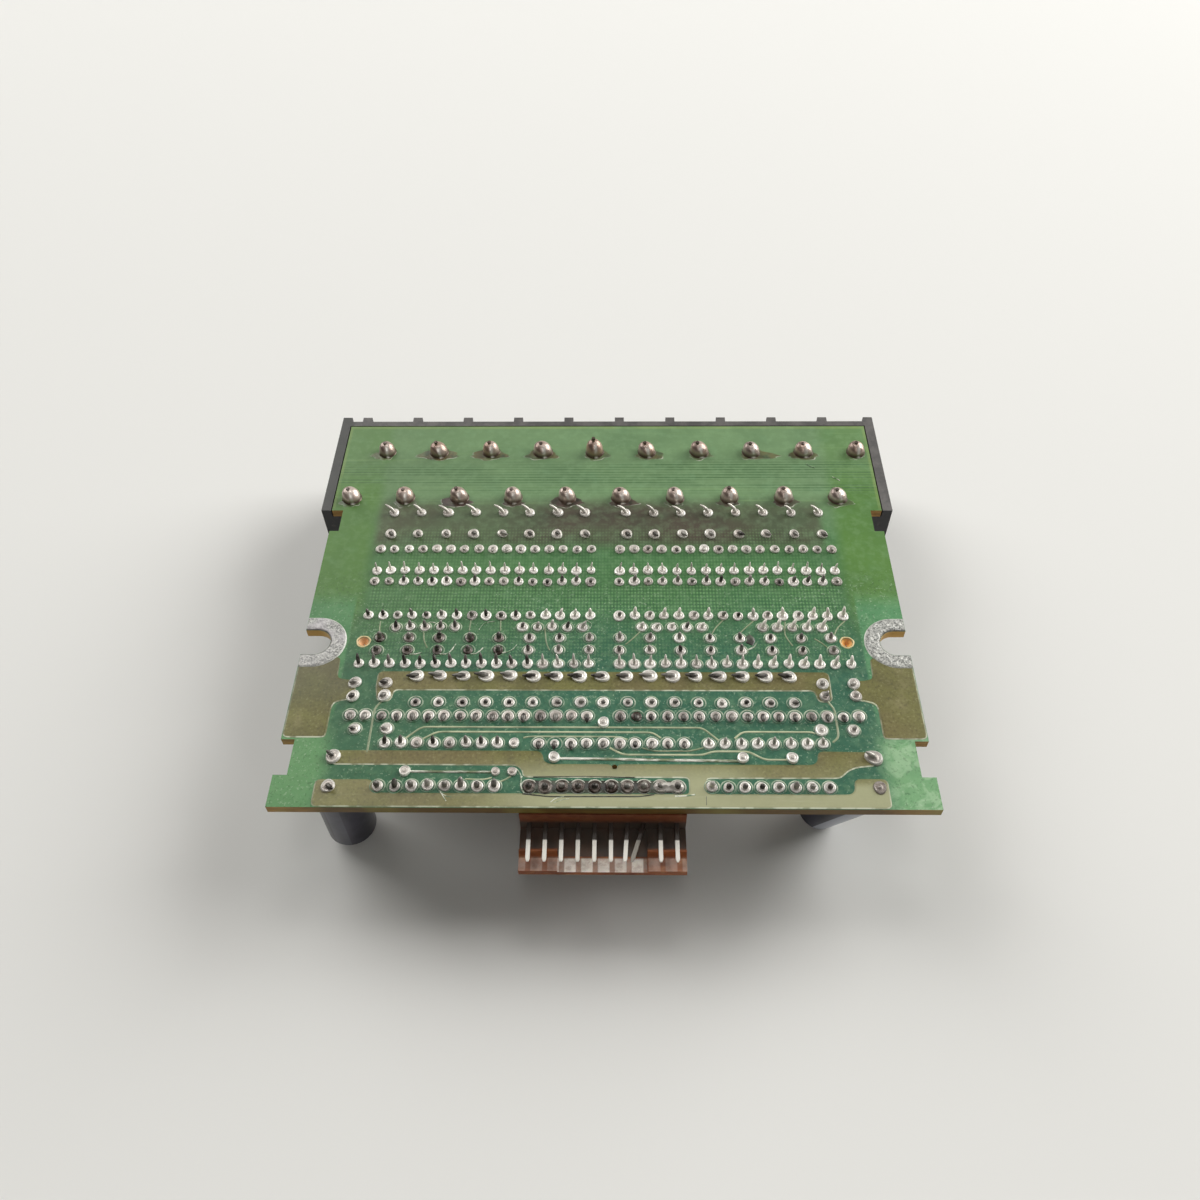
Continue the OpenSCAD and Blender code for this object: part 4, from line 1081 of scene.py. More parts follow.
class BOARD_OT_block_joints(bpy.types.Operator):
    """Solders the twenty terminal pins with tall joints"""

    bl_idname = "board.block_joints"
    bl_label = "Terminal joints"

    def execute(self, context):
        look = context.scene.board_solder
        centre = terminal_places()
        rings, sides = 14, 28
        high_one = 14  # the fifth joint of the outer row stands higher than the rest
        chance = np.random.default_rng(17)
        size = 1 + 0.03 * chance.normal(size=(20, 1, 1))
        phase = chance.random((20, 3, 1, 1)) * 2 * math.pi
        # height share t runs up the joint; its radius falls as (1 - t^2.8)^0.5 from the land to the pin,
        # with a small flare at the foot; the pin stands out of the top, back and to the left, as a short stub
        t = np.array([0.0, 0.04, 0.14, 0.28, 0.43, 0.58, 0.72, 0.84, 0.92, 0.97, 1.0])[:, None]
        turn = circle(sides)[None]
        wide = look.block_radius * size
        pin_reach = 0.36 * MM
        flare = 0.2 * MM * np.exp(-((t / 0.05) ** 2))
        swell = pin_reach + (wide - pin_reach) * (1 - t**2.8) ** 0.5 + flare
        lumps = 0.025 * np.sin(turn + phase[:, 0]) + 0.025 * np.sin(2 * turn + phase[:, 1])
        shape = swell * (1 + lumps * (1 - 0.5 * t) + 0.012 * np.sin(5 * turn + phase[:, 2] + 5 * t))
        tall = 0.97 + 0.06 * np.sin(phase[:, 0])
        tall[high_one] = 1.28
        rise = t * look.block_height * tall
        sway = np.stack([
            -0.3 * MM + 0.12 * MM * np.cos(phase[:, 1, 0, 0]),
            0.2 * MM + 0.1 * MM * np.sin(phase[:, 2, 0, 0]),
        ], -1)
        is_outer = np.arange(20) >= 10
        seat = np.stack([np.full(20, 0.3 * MM), np.where(is_outer, 0.4, 0.6) * MM], -1)[:, None, None]
        body = np.empty((20, rings, sides, 3))
        flat = facing_out(turn[0])
        body[:, 1:12, :, :2] = shape[..., None] * flat + seat + (t**2)[None, :, :, None] * sway[:, None, None]
        body[:, 1:12, :, 2] = rise
        body[:, 1, :, 2] = -0.02 * MM
        body[:, 0, :, :2], body[:, 0, :, 2] = flat * 0.7 * MM, -0.5 * MM
        pin = np.array([0.38, 0.3])[:, None, None] * MM * flat
        body[:, 12:, :, :2] = pin[None] + seat + sway[:, None, None]
        stub = (0.4 + 0.2 * np.cos(phase[:, 2, 0, 0])) * MM
        stub[high_one] = 0.95 * MM
        body[:, 12:, :, 2] = (stub[:, None] * np.array([0.6, 1.0]))[..., None] + rise[:, -1:, :]
        base = at_height(centre, TOP)
        body += base[:, None, None]
        body[..., 2] = np.minimum(body[..., 2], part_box("solder_block")[1].z)
        values = {
            "tone": np.where(is_outer, 0.5, 0.68) + 0.12 * chance.normal(size=20),
            "copper": np.clip(np.where(is_outer, 0.7, 0.25) + 0.25 * chance.normal(size=20), 0, 1),
            "pin": np.tile(np.repeat([0.0, 1.0], [1 + (rings - 2) * sides, 2 * sides + 1]), 20),
        }
        joints = tubes(body, values, base - np.array([0, 0, 0.5 * MM]))
        n = Finish("terminal solder", Metallic=0.4, Roughness=0.29)
        drip = n.grain((900, 900, 260))
        n.tint = n.mix(n.spread("tone", drip, 0.5, 0.9), colour(142, 122, 112), colour(222, 208, 198))
        n.lay(n.times(n.attribute("copper"), n.cloud(420.0, 0.35, 0.65, 0.25, 0.8)), colour(180, 144, 122))
        foot = n.past(n.minus(n.axes()[2], TOP), 0.1, 1.1, 0.95, 0.0)
        n.lay(foot, colour(86, 68, 56))
        # painted highlight: a pale streak runs down the side to the right of the header's view, and painted
        # shade makes the other shoulder brown
        side_x, side_y, up = n.facing()
        streak = n.times(
            n.within(side_x, 0.06, 0.34, 0.14), n.between(side_y, 0.2, -0.3), n.within(up, 0.3, 0.9, 0.15),
            n.between(drip, 0.3, 0.5, 0.5, 1.0),
        )
        n.lay(streak, colour(255, 250, 242))
        shoulder = n.times(
            n.within(side_x, -0.75, -0.12, 0.12), n.between(up, 0.35, 0.7),
            n.cloud(700.0, 0.35, 0.55, 0.5, 1.0),
        )
        n.lay(n.times(shoulder, 0.6), colour(84, 62, 54))
        n.lay(n.times(n.attribute("pin"), 0.85), colour(62, 50, 44))
        material = n.cover(n.plus(drip, n.noise(900.0)), 0.4, 0.08)
        put_piece("joints_block", [joints], material, ["solder_block"])
        return {"FINISHED"}


FLUX = [
    # how far the film runs left and right of each terminal joint in mm, and how dark it is; inner row first
    (1.9, 2.2, 0.6), (1.8, 2.7, 0.4), (3.4, 3.0, 1.0), (1.6, 2.6, 0.85), (3.0, 3.6, 0.95),
    (2.0, 3.7, 0.95), (1.7, 1.8, 0.3), (2.2, 2.2, 0.8), (1.7, 3.2, 0.9), (2.0, 3.2, 0.5),
    (2.8, 1.8, 0.5), (4.2, 4.6, 0.9), (3.8, 3.9, 0.85), (3.4, 3.6, 0.85), (1.8, 3.6, 0.6),
    (1.9, 4.0, 0.75), (1.6, 3.0, 0.5), (1.9, 6.0, 0.75), (2.8, 3.4, 0.75), (1.7, 1.7, 0.3),
]


class BOARD_OT_flux(bpy.types.Operator):
    """Lays the films of burnt flux round the feet of the terminal joints"""

    bl_idname = "board.flux"
    bl_label = "Flux films"

    def execute(self, context):
        # at a turn a, a film reaches left or right times cos a, and depth times sin a with pointed ends
        # that bend towards the header; three sets of waves break up its outline, and its rings shrink inwards
        centre = terminal_places()
        items, rings, sides = len(centre), 7, 48
        left, right, strength = np.transpose(FLUX)[..., None]
        chance = np.random.default_rng(23)
        phase = chance.random((items, 3, 1)) * 2 * math.pi
        turn = circle(sides)
        c, d = np.cos(turn), np.sin(turn)
        lobes = ((0.07, 3), (0.06, 5), (0.05, 9))
        wave = 1 + sum(size * np.sin(count * turn + phase[:, k]) for k, (size, count) in enumerate(lobes))
        x = np.where(c > 0, right, left) * MM * c * wave
        y = np.where(d > 0, 1.25, 1.9) * MM * d * (0.3 + 0.7 * np.abs(d)) * wave - 0.75 * MM * c**2
        outline = np.stack([x, y], -1)
        share = np.array([1.0, 0.955, 0.9, 0.75, 0.55, 0.3, 0.12])
        body = np.empty((items, rings, sides, 3))
        body[..., :2] = outline[:, None] * share[None, :, None, None] + centre[:, None, None]
        body[..., 2] = TOP + (np.array([-0.005, 0.03, 0.02, 0.025, 0.03, 0.03, 0.03]) * MM)[None, :, None]
        base = at_height(centre, TOP - 0.005 * MM)
        cover = np.array([0.0, 0.5, 0.9, 1.0, 1.0, 1.0, 1.0])
        spread = (strength[:, :, None] * cover[None, :, None] * np.ones((1, 1, sides))).reshape(items, -1)
        # painted highlight: the film's rim is paler on the side that faces the header
        near = np.clip(-d, 0, 1) ** 0.6 * (0.55 + 0.45 * np.sin(4 * turn + phase[:, 0]))
        rim = np.zeros((items, rings, sides))
        rim[:, 1] = np.clip(near, 0, 1)
        pad = np.zeros((items, 1))
        values = {
            "depth": np.concatenate([pad, spread, pad + strength], 1).ravel(),
            "rim": np.concatenate([pad, rim.reshape(items, -1), pad], 1).ravel(),
            "violet": np.arange(items) < 10,
        }
        n = Finish("flux film", Roughness=0.32, Specular_IOR_Level=0.5)
        n.tint, height = mask_node(n, context.scene.board_mask)
        film = n.mix(n.attribute("violet"), colour(104, 86, 54), colour(84, 64, 58))
        film = n.mix(n.cloud(520.0, 0.42, 0.7), film, colour(46, 38, 30))
        n.lay(n.times(n.attribute("depth"), n.cloud(380.0, 0.3, 0.6, 0.6, 1.0)), film)
        # painted highlight along the near rim of each film
        n.lay(n.times(n.attribute("rim"), n.cloud(650.0, 0.38, 0.52)), colour(214, 218, 200))
        material = n.cover(height, 0.3, 0.04)
        films = tubes(body, values, base, base + np.array([0, 0, 0.04 * MM]))
        put_piece("flux_films", [films], material, crease=80)
        return {"FINISHED"}


class BOARD_OT_vias(bpy.types.Operator):
    """Puts solder on the track ends that have no lead"""

    bl_idname = "board.vias"
    bl_label = "Track ends"

    def execute(self, context):
        places = [
            (0, -8.5), (-3, -11), (8.5, -11), (11.5, -11), (-12, -12), (-6.5, -12), (-5.5, -12), (-5.5, -10)
        ]
        xs, ys = np.transpose(places)
        row = joint_row(0, xs, 0.86, 0.5, 1.0, 0.22, (0.0, 0.0, 0.42), 0.92, 0.9)
        row["centre"] = on_board(xs, ys)
        row["radius"] = np.array([0.95, 0.92, 0.92, 0.95, 0.88, 0.7, 0.75, 0.85]) * MM
        row["height"] = np.array([0.5, 0.5, 0.5, 0.5, 0.5, 0.35, 0.35, 0.45]) * MM
        row["tone"] = np.array([1.0, 1.0, 1.0, 1.0, 0.85, 0.6, 0.55, 0.95])
        row["ring"] = np.array([0, 0, 0, 0, 0, 1.1, 1.12, 0.0])
        solder = solder_material(context.scene.board_solder)
        put_piece("joints_tracks", [fillets(row)], solder, ["solder_vias"])
        return {"FINISHED"}


class BOARD_OT_hole_linings(bpy.types.Operator):
    """Lines the two tooling holes with bare laminate and a pale rim"""

    bl_idname = "board.hole_linings"
    bl_label = "Tooling holes"

    def execute(self, context):
        # a profile turned round each hole: out along the board, up over the rim, down the wall and back
        radius = np.array([1.24, 1.17, 1.05, 0.94, 0.66, 0.08, 0.5, 1.1]) * MM
        rise = np.array([-0.01, 0.07, 0.08, -0.02, -0.3, -0.95, -1.4, -0.4]) * MM
        tone = np.array([0.8, 1.0, 0.8, 0.1, 0.0, 0.0, 0.0, 0.0])
        sides = 32
        turn = circle(sides)
        wave = 1 + 0.03 * np.sin(3 * turn + 0.6) + 0.02 * np.sin(7 * turn)
        centre = on_board([-16.0, 16.0], -2.2)
        body = np.empty((2, 8, sides, 3))
        body[..., :2] = (radius[:, None] * wave)[None, ..., None] * facing_out(turn) + centre[:, None, None]
        body[..., 2] = TOP + rise[None, :, None]
        linings = loops(body, {"tone": np.tile(np.repeat(tone, sides), 2)})
        n = Finish("bare laminate", Roughness=0.45)
        fibre = n.grain((900, 900, 3000))
        # painted light: the wall is a brighter tan than the cut laminate, as if lit through the laminate
        n.tint = n.mix(n.between(fibre, 0.35, 0.7), colour(240, 184, 104), colour(206, 146, 84))
        n.lay(n.past(n.axes()[0], -1, 1, 0.6, 0.0), colour(224, 182, 146))
        n.lay(n.attribute("tone"), colour(222, 206, 156))
        put_piece("hole_linings", [linings], n.cover(fibre, 0.3, 0.04), turn_out=True)
        return {"FINISHED"}


FLUX_MARKS = [
    # grid steps along each bead of dried flux, and its width in mm
    ([(-13.2, -3.15), (-12.5, -3.28), (-12.0, -3.08)], 0.2),
    ([(-11.06, -3.09), (-10.51, -3.3), (-10.08, -2.97), (-9.85, -2.4)], 0.2),
    ([(-9.01, -3.09), (-8.6, -3.24), (-8.28, -3.08), (-8.0, -2.7)], 0.2),
    ([(-7.03, -3.08), (-6.43, -3.1), (-5.99, -2.8), (-5.8, -2.45)], 0.22),
    ([(-12.4, -0.9), (-12.0, -0.6), (-11.5, -0.55), (-10.9, -1.0)], 0.16),
    ([(-8.4, -1.2), (-8.1, -0.6), (-7.4, -0.5)], 0.14),
    ([(10.05, -2.25), (9.85, -2.6), (9.4, -2.85)], 0.26),
    ([(4.28, -13.62), (4.9, -13.6), (5.5, -13.5)], 0.3),
    ([(-4.9, -12.3), (-4.95, -12.9), (-4.7, -13.45)], 0.24),
    ([(-9.75, -13.3), (-9.58, -13.56), (-9.3, -14.0)], 0.16),
    ([(-9.6, -13.5), (-9.3, -13.7), (-9.0, -13.72)], 0.12),
    ([(-3.1, -14.05), (-2.81, -13.78), (-2.3, -13.66)], 0.16),
    ([(-2.9, -14.1), (-2.5, -13.9), (-2.0, -13.8)], 0.12),
    ([(-5.3, -11.75), (-5.0, -12.1), (-4.9, -12.5)], 0.2),
    ([(15.2, 14.7), (15.5, 14.4), (15.8, 14.3)], 0.14),
    ([(17.0, 13.3), (17.3, 13.1), (17.5, 12.9)], 0.14),
    ([(-1.2, -0.4), (-0.8, -0.7), (-1.0, -1.1)], 0.12),
]
BURNT_MARKS = [
    ([(-4.78, -13.5), (-3.2, -13.68), (-0.2, -13.66), (2.26, -13.65), (3.07, -13.5)], 0.3),
    ([(9.45, -1.7), (9.75, -2.0), (9.55, -2.35)], 1.35),
    ([(-4.75, -13.0), (4.72, -13.0)], 2.1),
    ([(6.15, -13.62), (6.13, -14.2)], 0.1),
    ([(-4.2, -12.35), (-1.0, -12.3), (1.9, -12.36)], 0.16),
]


class BOARD_OT_flux_marks(bpy.types.Operator):
    """Draws the dried beads of flux and the burnt smears between the joints"""

    bl_idname = "board.flux_marks"
    bl_label = "Flux marks"

    def execute(self, context):
        dried = (900.0, (0.4, 0.62), colour(112, 140, 108), colour(226, 228, 212))
        burnt = (700.0, (0.35, 0.65), colour(42, 40, 34), colour(78, 84, 70))
        for piece, name, marks, lift, (scale, edges, dark, pale) in (
            ("flux_beads", "dried flux", FLUX_MARKS, 0.1, dried),
            ("burnt_smears", "burnt flux", BURNT_MARKS, 0.09, burnt),
        ):
            n = Finish(name, Roughness=0.3)
            bits = n.noise(scale, 3.0, 0.6)
            n.tint = n.mix(n.between(bits, *edges), dark, pale)
            put_piece(piece, ribbons(marks, 0.7, lift), n.cover(bits, 0.4, 0.05), crease=70)
        return {"FINISHED"}


class BOARD_OT_slot_lands(bpy.types.Operator):
    """Tins the lands round the two fixing slots"""

    bl_idname = "board.slot_lands"
    bl_label = "Slot lands"

    def execute(self, context):
        low, high = (np.array(corner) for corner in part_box("slot_land_right"))
        outer_r = (high[1] - low[1]) / 2
        middle_y = (high[1] + low[1]) / 2
        end_x, edge = low[0] + outer_r, high[0]
        count = 120
        s = np.linspace(0, 1, count)
        # both lines run in from the edge along one side of the slot, half round its end, and back out
        out = np.clip(np.abs(2 * s - 1) - 0.7, 0, 1) / 0.3 * (edge - end_x)
        bend = np.clip((s - 0.15) / 0.7, 0, 1) * math.pi
        inner_r = 2.52 * MM
        inner = np.stack([end_x + out - inner_r * np.sin(bend), middle_y - inner_r * np.cos(bend)], -1)
        outer = np.stack([end_x + out - outer_r * np.sin(bend), middle_y - outer_r * np.cos(bend)], -1)
        # across the land the height is a flat arch, pitted by chance and by two sets of waves
        t = np.linspace(0, 1, 18)
        arch = (1 - np.abs(2 * t - 1) ** 7) * 0.22 * MM
        surface = inner[:, None] * (1 - t[None, :, None]) + outer[:, None] * t[None, :, None]
        chance = np.random.default_rng(3)
        pits = chance.normal(size=(count, 18)) * 0.02 * MM
        pits = (pits + np.roll(pits, 1, 0) + np.roll(pits, -1, 0)) / 2
        u = s[:, None]
        waves = 0.03 * MM * np.sin(37 * u + 9 * t) + 0.02 * MM * np.sin(90 * u - 14 * t)
        height = arch[None] + (waves + pits) * (arch / arch.max())[None]
        body = np.empty((1, count, 36, 3))
        body[0, :, :18, :2] = surface
        body[0, :, :18, 2] = TOP + height
        body[0, :, 18:, :2] = surface[:, ::-1]
        body[0, :, 18:, 2] = TOP - SUNK
        across = np.tile(np.concatenate([t, t[::-1]]), count)
        land = tubes(body, {"across": np.concatenate([[0.5], across, [0.5]])})
        mirror = (land[0] * np.array([-1.0, 1.0, 1.0]), *land[1:])
        n = Finish("tinned land", Metallic=0.45, Roughness=0.5)
        x, y, _ = n.axes()
        left = n.times(
            n.past(x, -1, 1, 1.0, 0.0), n.between(y, middle_y - 1 * MM, middle_y + 2 * MM, 0.25, 1.0)
        )
        grit = n.noise(3200.0, 3.0, 0.7)
        scratch = n.grain((1800, 7500, 800), 4.0, 0.7, turn=(0, 0, 0.5))
        n.tint = n.mix(n.between(grit, 0.34, 0.62), colour(104, 106, 104), colour(196, 196, 190))
        n.lay(n.between(scratch, 0.52, 0.64, 0.0, 0.7), colour(84, 86, 84))
        paler_part = n.times(left, n.cloud(150.0, 0.40, 0.56, detail=2.0))
        n.lay(n.times(paler_part, 0.85), colour(180, 176, 178))
        across = n.attribute("across")
        n.lay(n.between(across, 0.90, 0.97, 0.0, 0.8), colour(212, 214, 206))
        n.lay(n.between(across, 0.10, 0.03, 0.0, 0.7), colour(82, 80, 74))
        material = n.cover(n.plus(grit, scratch), 0.55, 0.1)
        put_piece("tinned_land_right", [land], material, ["slot_land_right"], turn_out=True)
        put_piece("tinned_land_left", [mirror], material, ["slot_land_left"], turn_out=True)
        return {"FINISHED"}


# ---------------------------------------------------------------- header and terminal block


class BOARD_OT_header(bpy.types.Operator):
    """Makes the header's pins with rounded corners and pointed tips, and finishes its housing"""

    bl_idname = "board.header"
    bl_label = "Plug header"

    def execute(self, context):
        low, high = (np.array(corner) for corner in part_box("header_pins"))
        half = 0.32 * MM
        level = low[2] + half
        xs = np.linspace(low[0] + half, high[0] - half, 10)
        wall = float(BOARD_LOW[1]) - 0.25 * MM
        bend_y = high[1] - half
        reach = wall - low[1]
        lean = np.zeros(10)
        bent, beside = 7, 6  # the eighth pin is bent to the left, and the seventh leans a little
        bent_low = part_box("header_pin_bent")[0][0]
        lean[bent] = xs[bent] - half - bent_low
        lean[beside] = reach * math.tan(math.radians(3.7))
        # centre line: tip, shoulder, wall, elbow and board; the section is a square whose corners are rounded
        line = np.zeros((10, 6, 3))
        share = np.array([1.0, 0.93, 0.0])
        line[:, :3, 0] = xs[:, None] - lean[:, None] * share
        line[:, :3, 1] = wall - reach * share
        line[:, 3:, 0] = xs[:, None]
        line[:, 3, 1], line[:, 4, 1], line[:, 5, 1] = bend_y - 0.4 * MM, bend_y, bend_y
        line[:, :5, 2], line[:, 5, 2] = level, UNDER
        turn = np.repeat(np.arange(4), 4) * math.pi / 2 + np.tile([-0.7, -0.35, 0.35, 0.7], 4)
        square = 1 / (np.abs(np.cos(turn)) ** 14 + np.abs(np.sin(turn)) ** 14) ** (1 / 14)
        scale = np.array([0.55, 1.0, 1.0, 1.0, 1.0, 1.0])[:, None] * half * square
        up = np.array([[0, 0, 1.0], [0, 0, 1], [0, 0, 1], [0, 0, 1], [0, -1, 1], [0, -1, 0]])
        across = (scale * np.cos(turn))[None, ..., None] * np.array([-1.0, 0, 0])
        body = line[:, :, None] + across + (scale * np.sin(turn))[None, ..., None] * up[None, :, None]
        tone = np.array([1.0, 0.95, 1.0, 0.85, 1.0, 1.0, 1.0, 0.15, 1.0, 0.95])
        n = Finish("tinned pins", Metallic=0.05, Roughness=0.3)
        scuff = n.grain((2600, 300, 2600))
        n.tint = n.mix(n.spread("tone", scuff, 0.5, 0.6), colour(132, 126, 116), colour(255, 252, 242))
        # painted shadow: the inner part of each pin, under the board's shadow, is painted dark
        board_shadow_on_pins = n.between(n.axes()[1], float(low[1]) + 3.2 * MM, float(low[1]) + 3.5 * MM)
        n.lay(n.times(board_shadow_on_pins, 0.96), colour(44, 32, 26))
        material = n.cover(scuff, 0.15, 0.02)
        put_piece(
            "pins_header", [tubes(body, {"tone": tone})], material, ["header_pins", "header_pin_bent"],
            crease=40, turn_out=True,
        )

        look = context.scene.board_plastics
        n = Finish(
            "amber nylon", Roughness=0.5, Specular_IOR_Level=0.3, Subsurface_Weight=0.1,
            Subsurface_Scale=0.8 * MM, Coat_Weight=0.08, Coat_Roughness=0.3,
        )
        flow = n.grain((140, 420, 420), 4.0, 0.6)
        n.tint = n.mix(n.between(flow, 0.35, 0.7), look.header, colour(112, 58, 26))
        n.lay(n.cloud(700.0, 0.5, 0.75, 0.0, 0.4), colour(186, 132, 84))
        x, y, z = n.axes()
        shelf_y = float(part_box("header_housing")[0][1])
        facing = n.facing()[2]
        # painted reflection: the shelf is painted pale between the pins where it catches the light beyond the
        # board's shadow, with painted pin shadows left darker, and the two ledges at its ends stay amber
        second, ninth = float(xs[1]), float(xs[8])
        past_second = n.between(x, second + 0.73 * GRID, second + 0.77 * GRID)
        inner = n.times(past_second, n.between(x, ninth - 0.78 * GRID, ninth - 0.82 * GRID))
        way = n.absolute(n.math("WRAP", n.minus(x, float(xs[0])), -GRID / 2, GRID / 2))
        on_shelf = n.between(y, shelf_y + 2.4 * MM, shelf_y + 2.0 * MM)
        paler_part = n.times(n.between(facing, 0.5, 0.8), on_shelf, n.between(inner, 0.0, 1.0, 0.25, 1.0))
        patches = n.cloud(900.0, 0.3, 0.6, 0.6, 1.0, detail=4.0, rough=0.7)
        paler_part = n.times(paler_part, n.past(way, 0.3, 0.5, 0.3, 1.0), patches)
        n.lay(paler_part, colour(246, 238, 228))
        # painted shade: the shelf behind the lip, in the board's shadow, is painted dark, and the wall over
        # it is painted a duller brown
        shade_under_board = n.times(
            n.between(y, shelf_y + 3.3 * MM, shelf_y + 3.9 * MM),
            n.between(z, UNDER - 1.5 * MM, UNDER - 2.9 * MM),
        )
        shade_under_board = n.greatest(
            shade_under_board, n.times(inner, n.within(y, shelf_y + 2.5 * MM, shelf_y + 4 * MM, 0.15 * MM))
        )
        n.lay(n.between(y, shelf_y + 4.4 * MM, shelf_y + 5.2 * MM, 0.0, 0.6), colour(112, 66, 48))
        n.lay(n.times(shade_under_board, n.cloud(180.0, 0.3, 0.6, 0.8, 1.0)), colour(84, 74, 66))
        dress("header_housing", n.cover(n.noise(1100.0, 3.0), 0.35, 0.06))
        return {"FINISHED"}


class BOARD_OT_terminal_block(bpy.types.Operator):
    """Finishes the terminal block's housing, strips, clamps and screws"""

    bl_idname = "board.terminal_block"
    bl_label = "Terminal block"

    def execute(self, context):
        look = context.scene.board_plastics
        n = Finish("dark moulding", Roughness=0.46)
        grain = n.noise(1500.0, 3.0, 0.6)
        patches = n.cloud(150.0, 0.4, 0.75, 0.0, 0.5, detail=4.0, rough=0.65)
        n.tint = n.mix(patches, look.block, colour(64, 63, 64))
        dust = n.times(n.cloud(900.0, 0.55, 0.8, rough=0.7), n.cloud(70.0, 0.4, 0.65))
        n.lay(n.times(dust, 0.5), colour(126, 122, 116))
        facing = n.facing()[2]
        patches = n.cloud(300.0, 0.35, 0.65, detail=4.0, rough=0.7)
        paler_part = n.mix(patches, colour(78, 76, 74), colour(104, 101, 98))
        n.lay(n.between(facing, 0.5, 0.9, 0.0, 0.8), paler_part)
        left = n.times(n.past(n.axes()[0], -50, -51.5), n.between(facing, 0.5, 0.9))
        n.lay(n.times(left, 0.8), colour(34, 38, 33))
        dress("block_housing", n.cover(grain, 0.3, 0.05))

        n = Finish("plated brass", Metallic=0.9, Roughness=0.34)
        brushed = n.grain((160, 2400, 160))
        n.tint = n.mix(n.between(brushed, 0.3, 0.7), colour(176, 148, 92), colour(206, 190, 150))
        brass = n.cover(brushed, 0.25, 0.04)
        for node in ("terminals_outer", "terminals_inner"):
            dress(node, brass)

        n = Finish("zinc-plated steel", Metallic=0.9, Roughness=0.36)
        wear = n.noise(420.0, 4.0, 0.65)
        n.tint = n.mix(n.between(wear, 0.35, 0.7), colour(150, 150, 146), colour(214, 212, 204))
        n.lay(n.cloud(160.0, 0.55, 0.72, 0.0, 0.5), colour(168, 158, 120))
        zinc = n.cover(n.noise(1800.0), 0.35, 0.05)
        for node in ("clamps_outer", "clamps_inner", "screws_outer", "screws_inner"):
            dress(node, zinc)
        return {"FINISHED"}


# ---------------------------------------------------------------- parts under the board


LEANING_BASE = np.array([42.01 * MM, SET_OUT - 34.28 * MM, 15.62 * MM])  # middle of the leaning can's foot


def sleeve_finish(n, node, place, centre, heading, width, strength):
    """Finishes a sleeve with a pale stripe that faces heading, seen from the can's axis."""
    look = bpy.context.scene.board_plastics
    x, y, _ = n.axes(place)
    angle = n.math("ARCTAN2", n.minus(y, centre[1]), n.minus(x, centre[0]))
    off = n.absolute(n.math("WRAP", n.minus(angle, heading), -math.pi, math.pi))
    stripe = n.times(n.between(off, width, width + 0.04, 1.0, 0.0), strength)
    n.tint = n.mix(n.cloud(300.0, 0.35, 0.7), look.sleeve, colour(44, 44, 54))
    n.lay(stripe, look.stripe)
    dress(node, n.cover(n.noise(500.0, 3.0), 0.25, 0.08))


class BOARD_OT_capacitors(bpy.types.Operator):
    """Finishes the two electrolytic capacitors: cans, rubber bungs, and sleeves with a pale stripe"""

    bl_idname = "board.capacitors"
    bl_label = "Electrolytic capacitors"

    def execute(self, context):
        low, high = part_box("sleeve_left")
        centre = ((low.x + high.x) / 2, (low.y + high.y) / 2)
        n = Finish("sleeve of the upright can", Roughness=0.36, Coat_Weight=0.3, Coat_Roughness=0.2)
        sleeve_finish(n, "sleeve_left", None, centre, math.radians(-99), 0.3, 0.126)

        # the leaning can is stood upright: moved by its base, turned by its heading, and turned by its lean
        n = Finish("sleeve of the leaning can", Roughness=0.36, Coat_Weight=0.3, Coat_Roughness=0.2)
        upright = n.place()
        for step in (
            {"Location": tuple(-LEANING_BASE)},
            {"Rotation": (0, 0, math.radians(-153))},
            {"Rotation": (0, math.radians(28), 0)},
        ):
            upright = n.add("Mapping", {"Vector": upright, **step}, vector_type="POINT").outputs[0]
        sleeve_finish(n, "sleeve_right", upright, (0.0, 0.0), math.radians(137), 0.62, 0.9)

        n = Finish("drawn aluminium", Metallic=0.95, Roughness=0.3)
        drawn = n.grain((1800, 1800, 200))
        n.tint = n.mix(drawn, colour(176, 178, 182), colour(224, 226, 228))
        can = n.cover(drawn, 0.2, 0.03)
        for node in ("can_left", "can_right"):
            dress(node, can)
        n = Finish("rubber", Roughness=0.7)
        n.tint = n.mix(n.noise(600.0), colour(24, 24, 24), colour(42, 41, 40))
        dress("can_bungs", n.cover(n.noise(1500.0), 0.3, 0.05))
        return {"FINISHED"}


def plain_finish(name, first, second, nodes, scale=260.0, bump=0.3, **fixed):
    """A moulded or dipped finish: two close shades in clouds, with a fine bump."""
    n = Finish(name, **fixed)
    n.tint = n.mix(n.cloud(scale, 0.35, 0.7, rough=0.6), first, second)
    material = n.cover(n.noise(scale * 5, 3.0, 0.6), bump, 0.05)
    for node in nodes:
        dress(node, material)


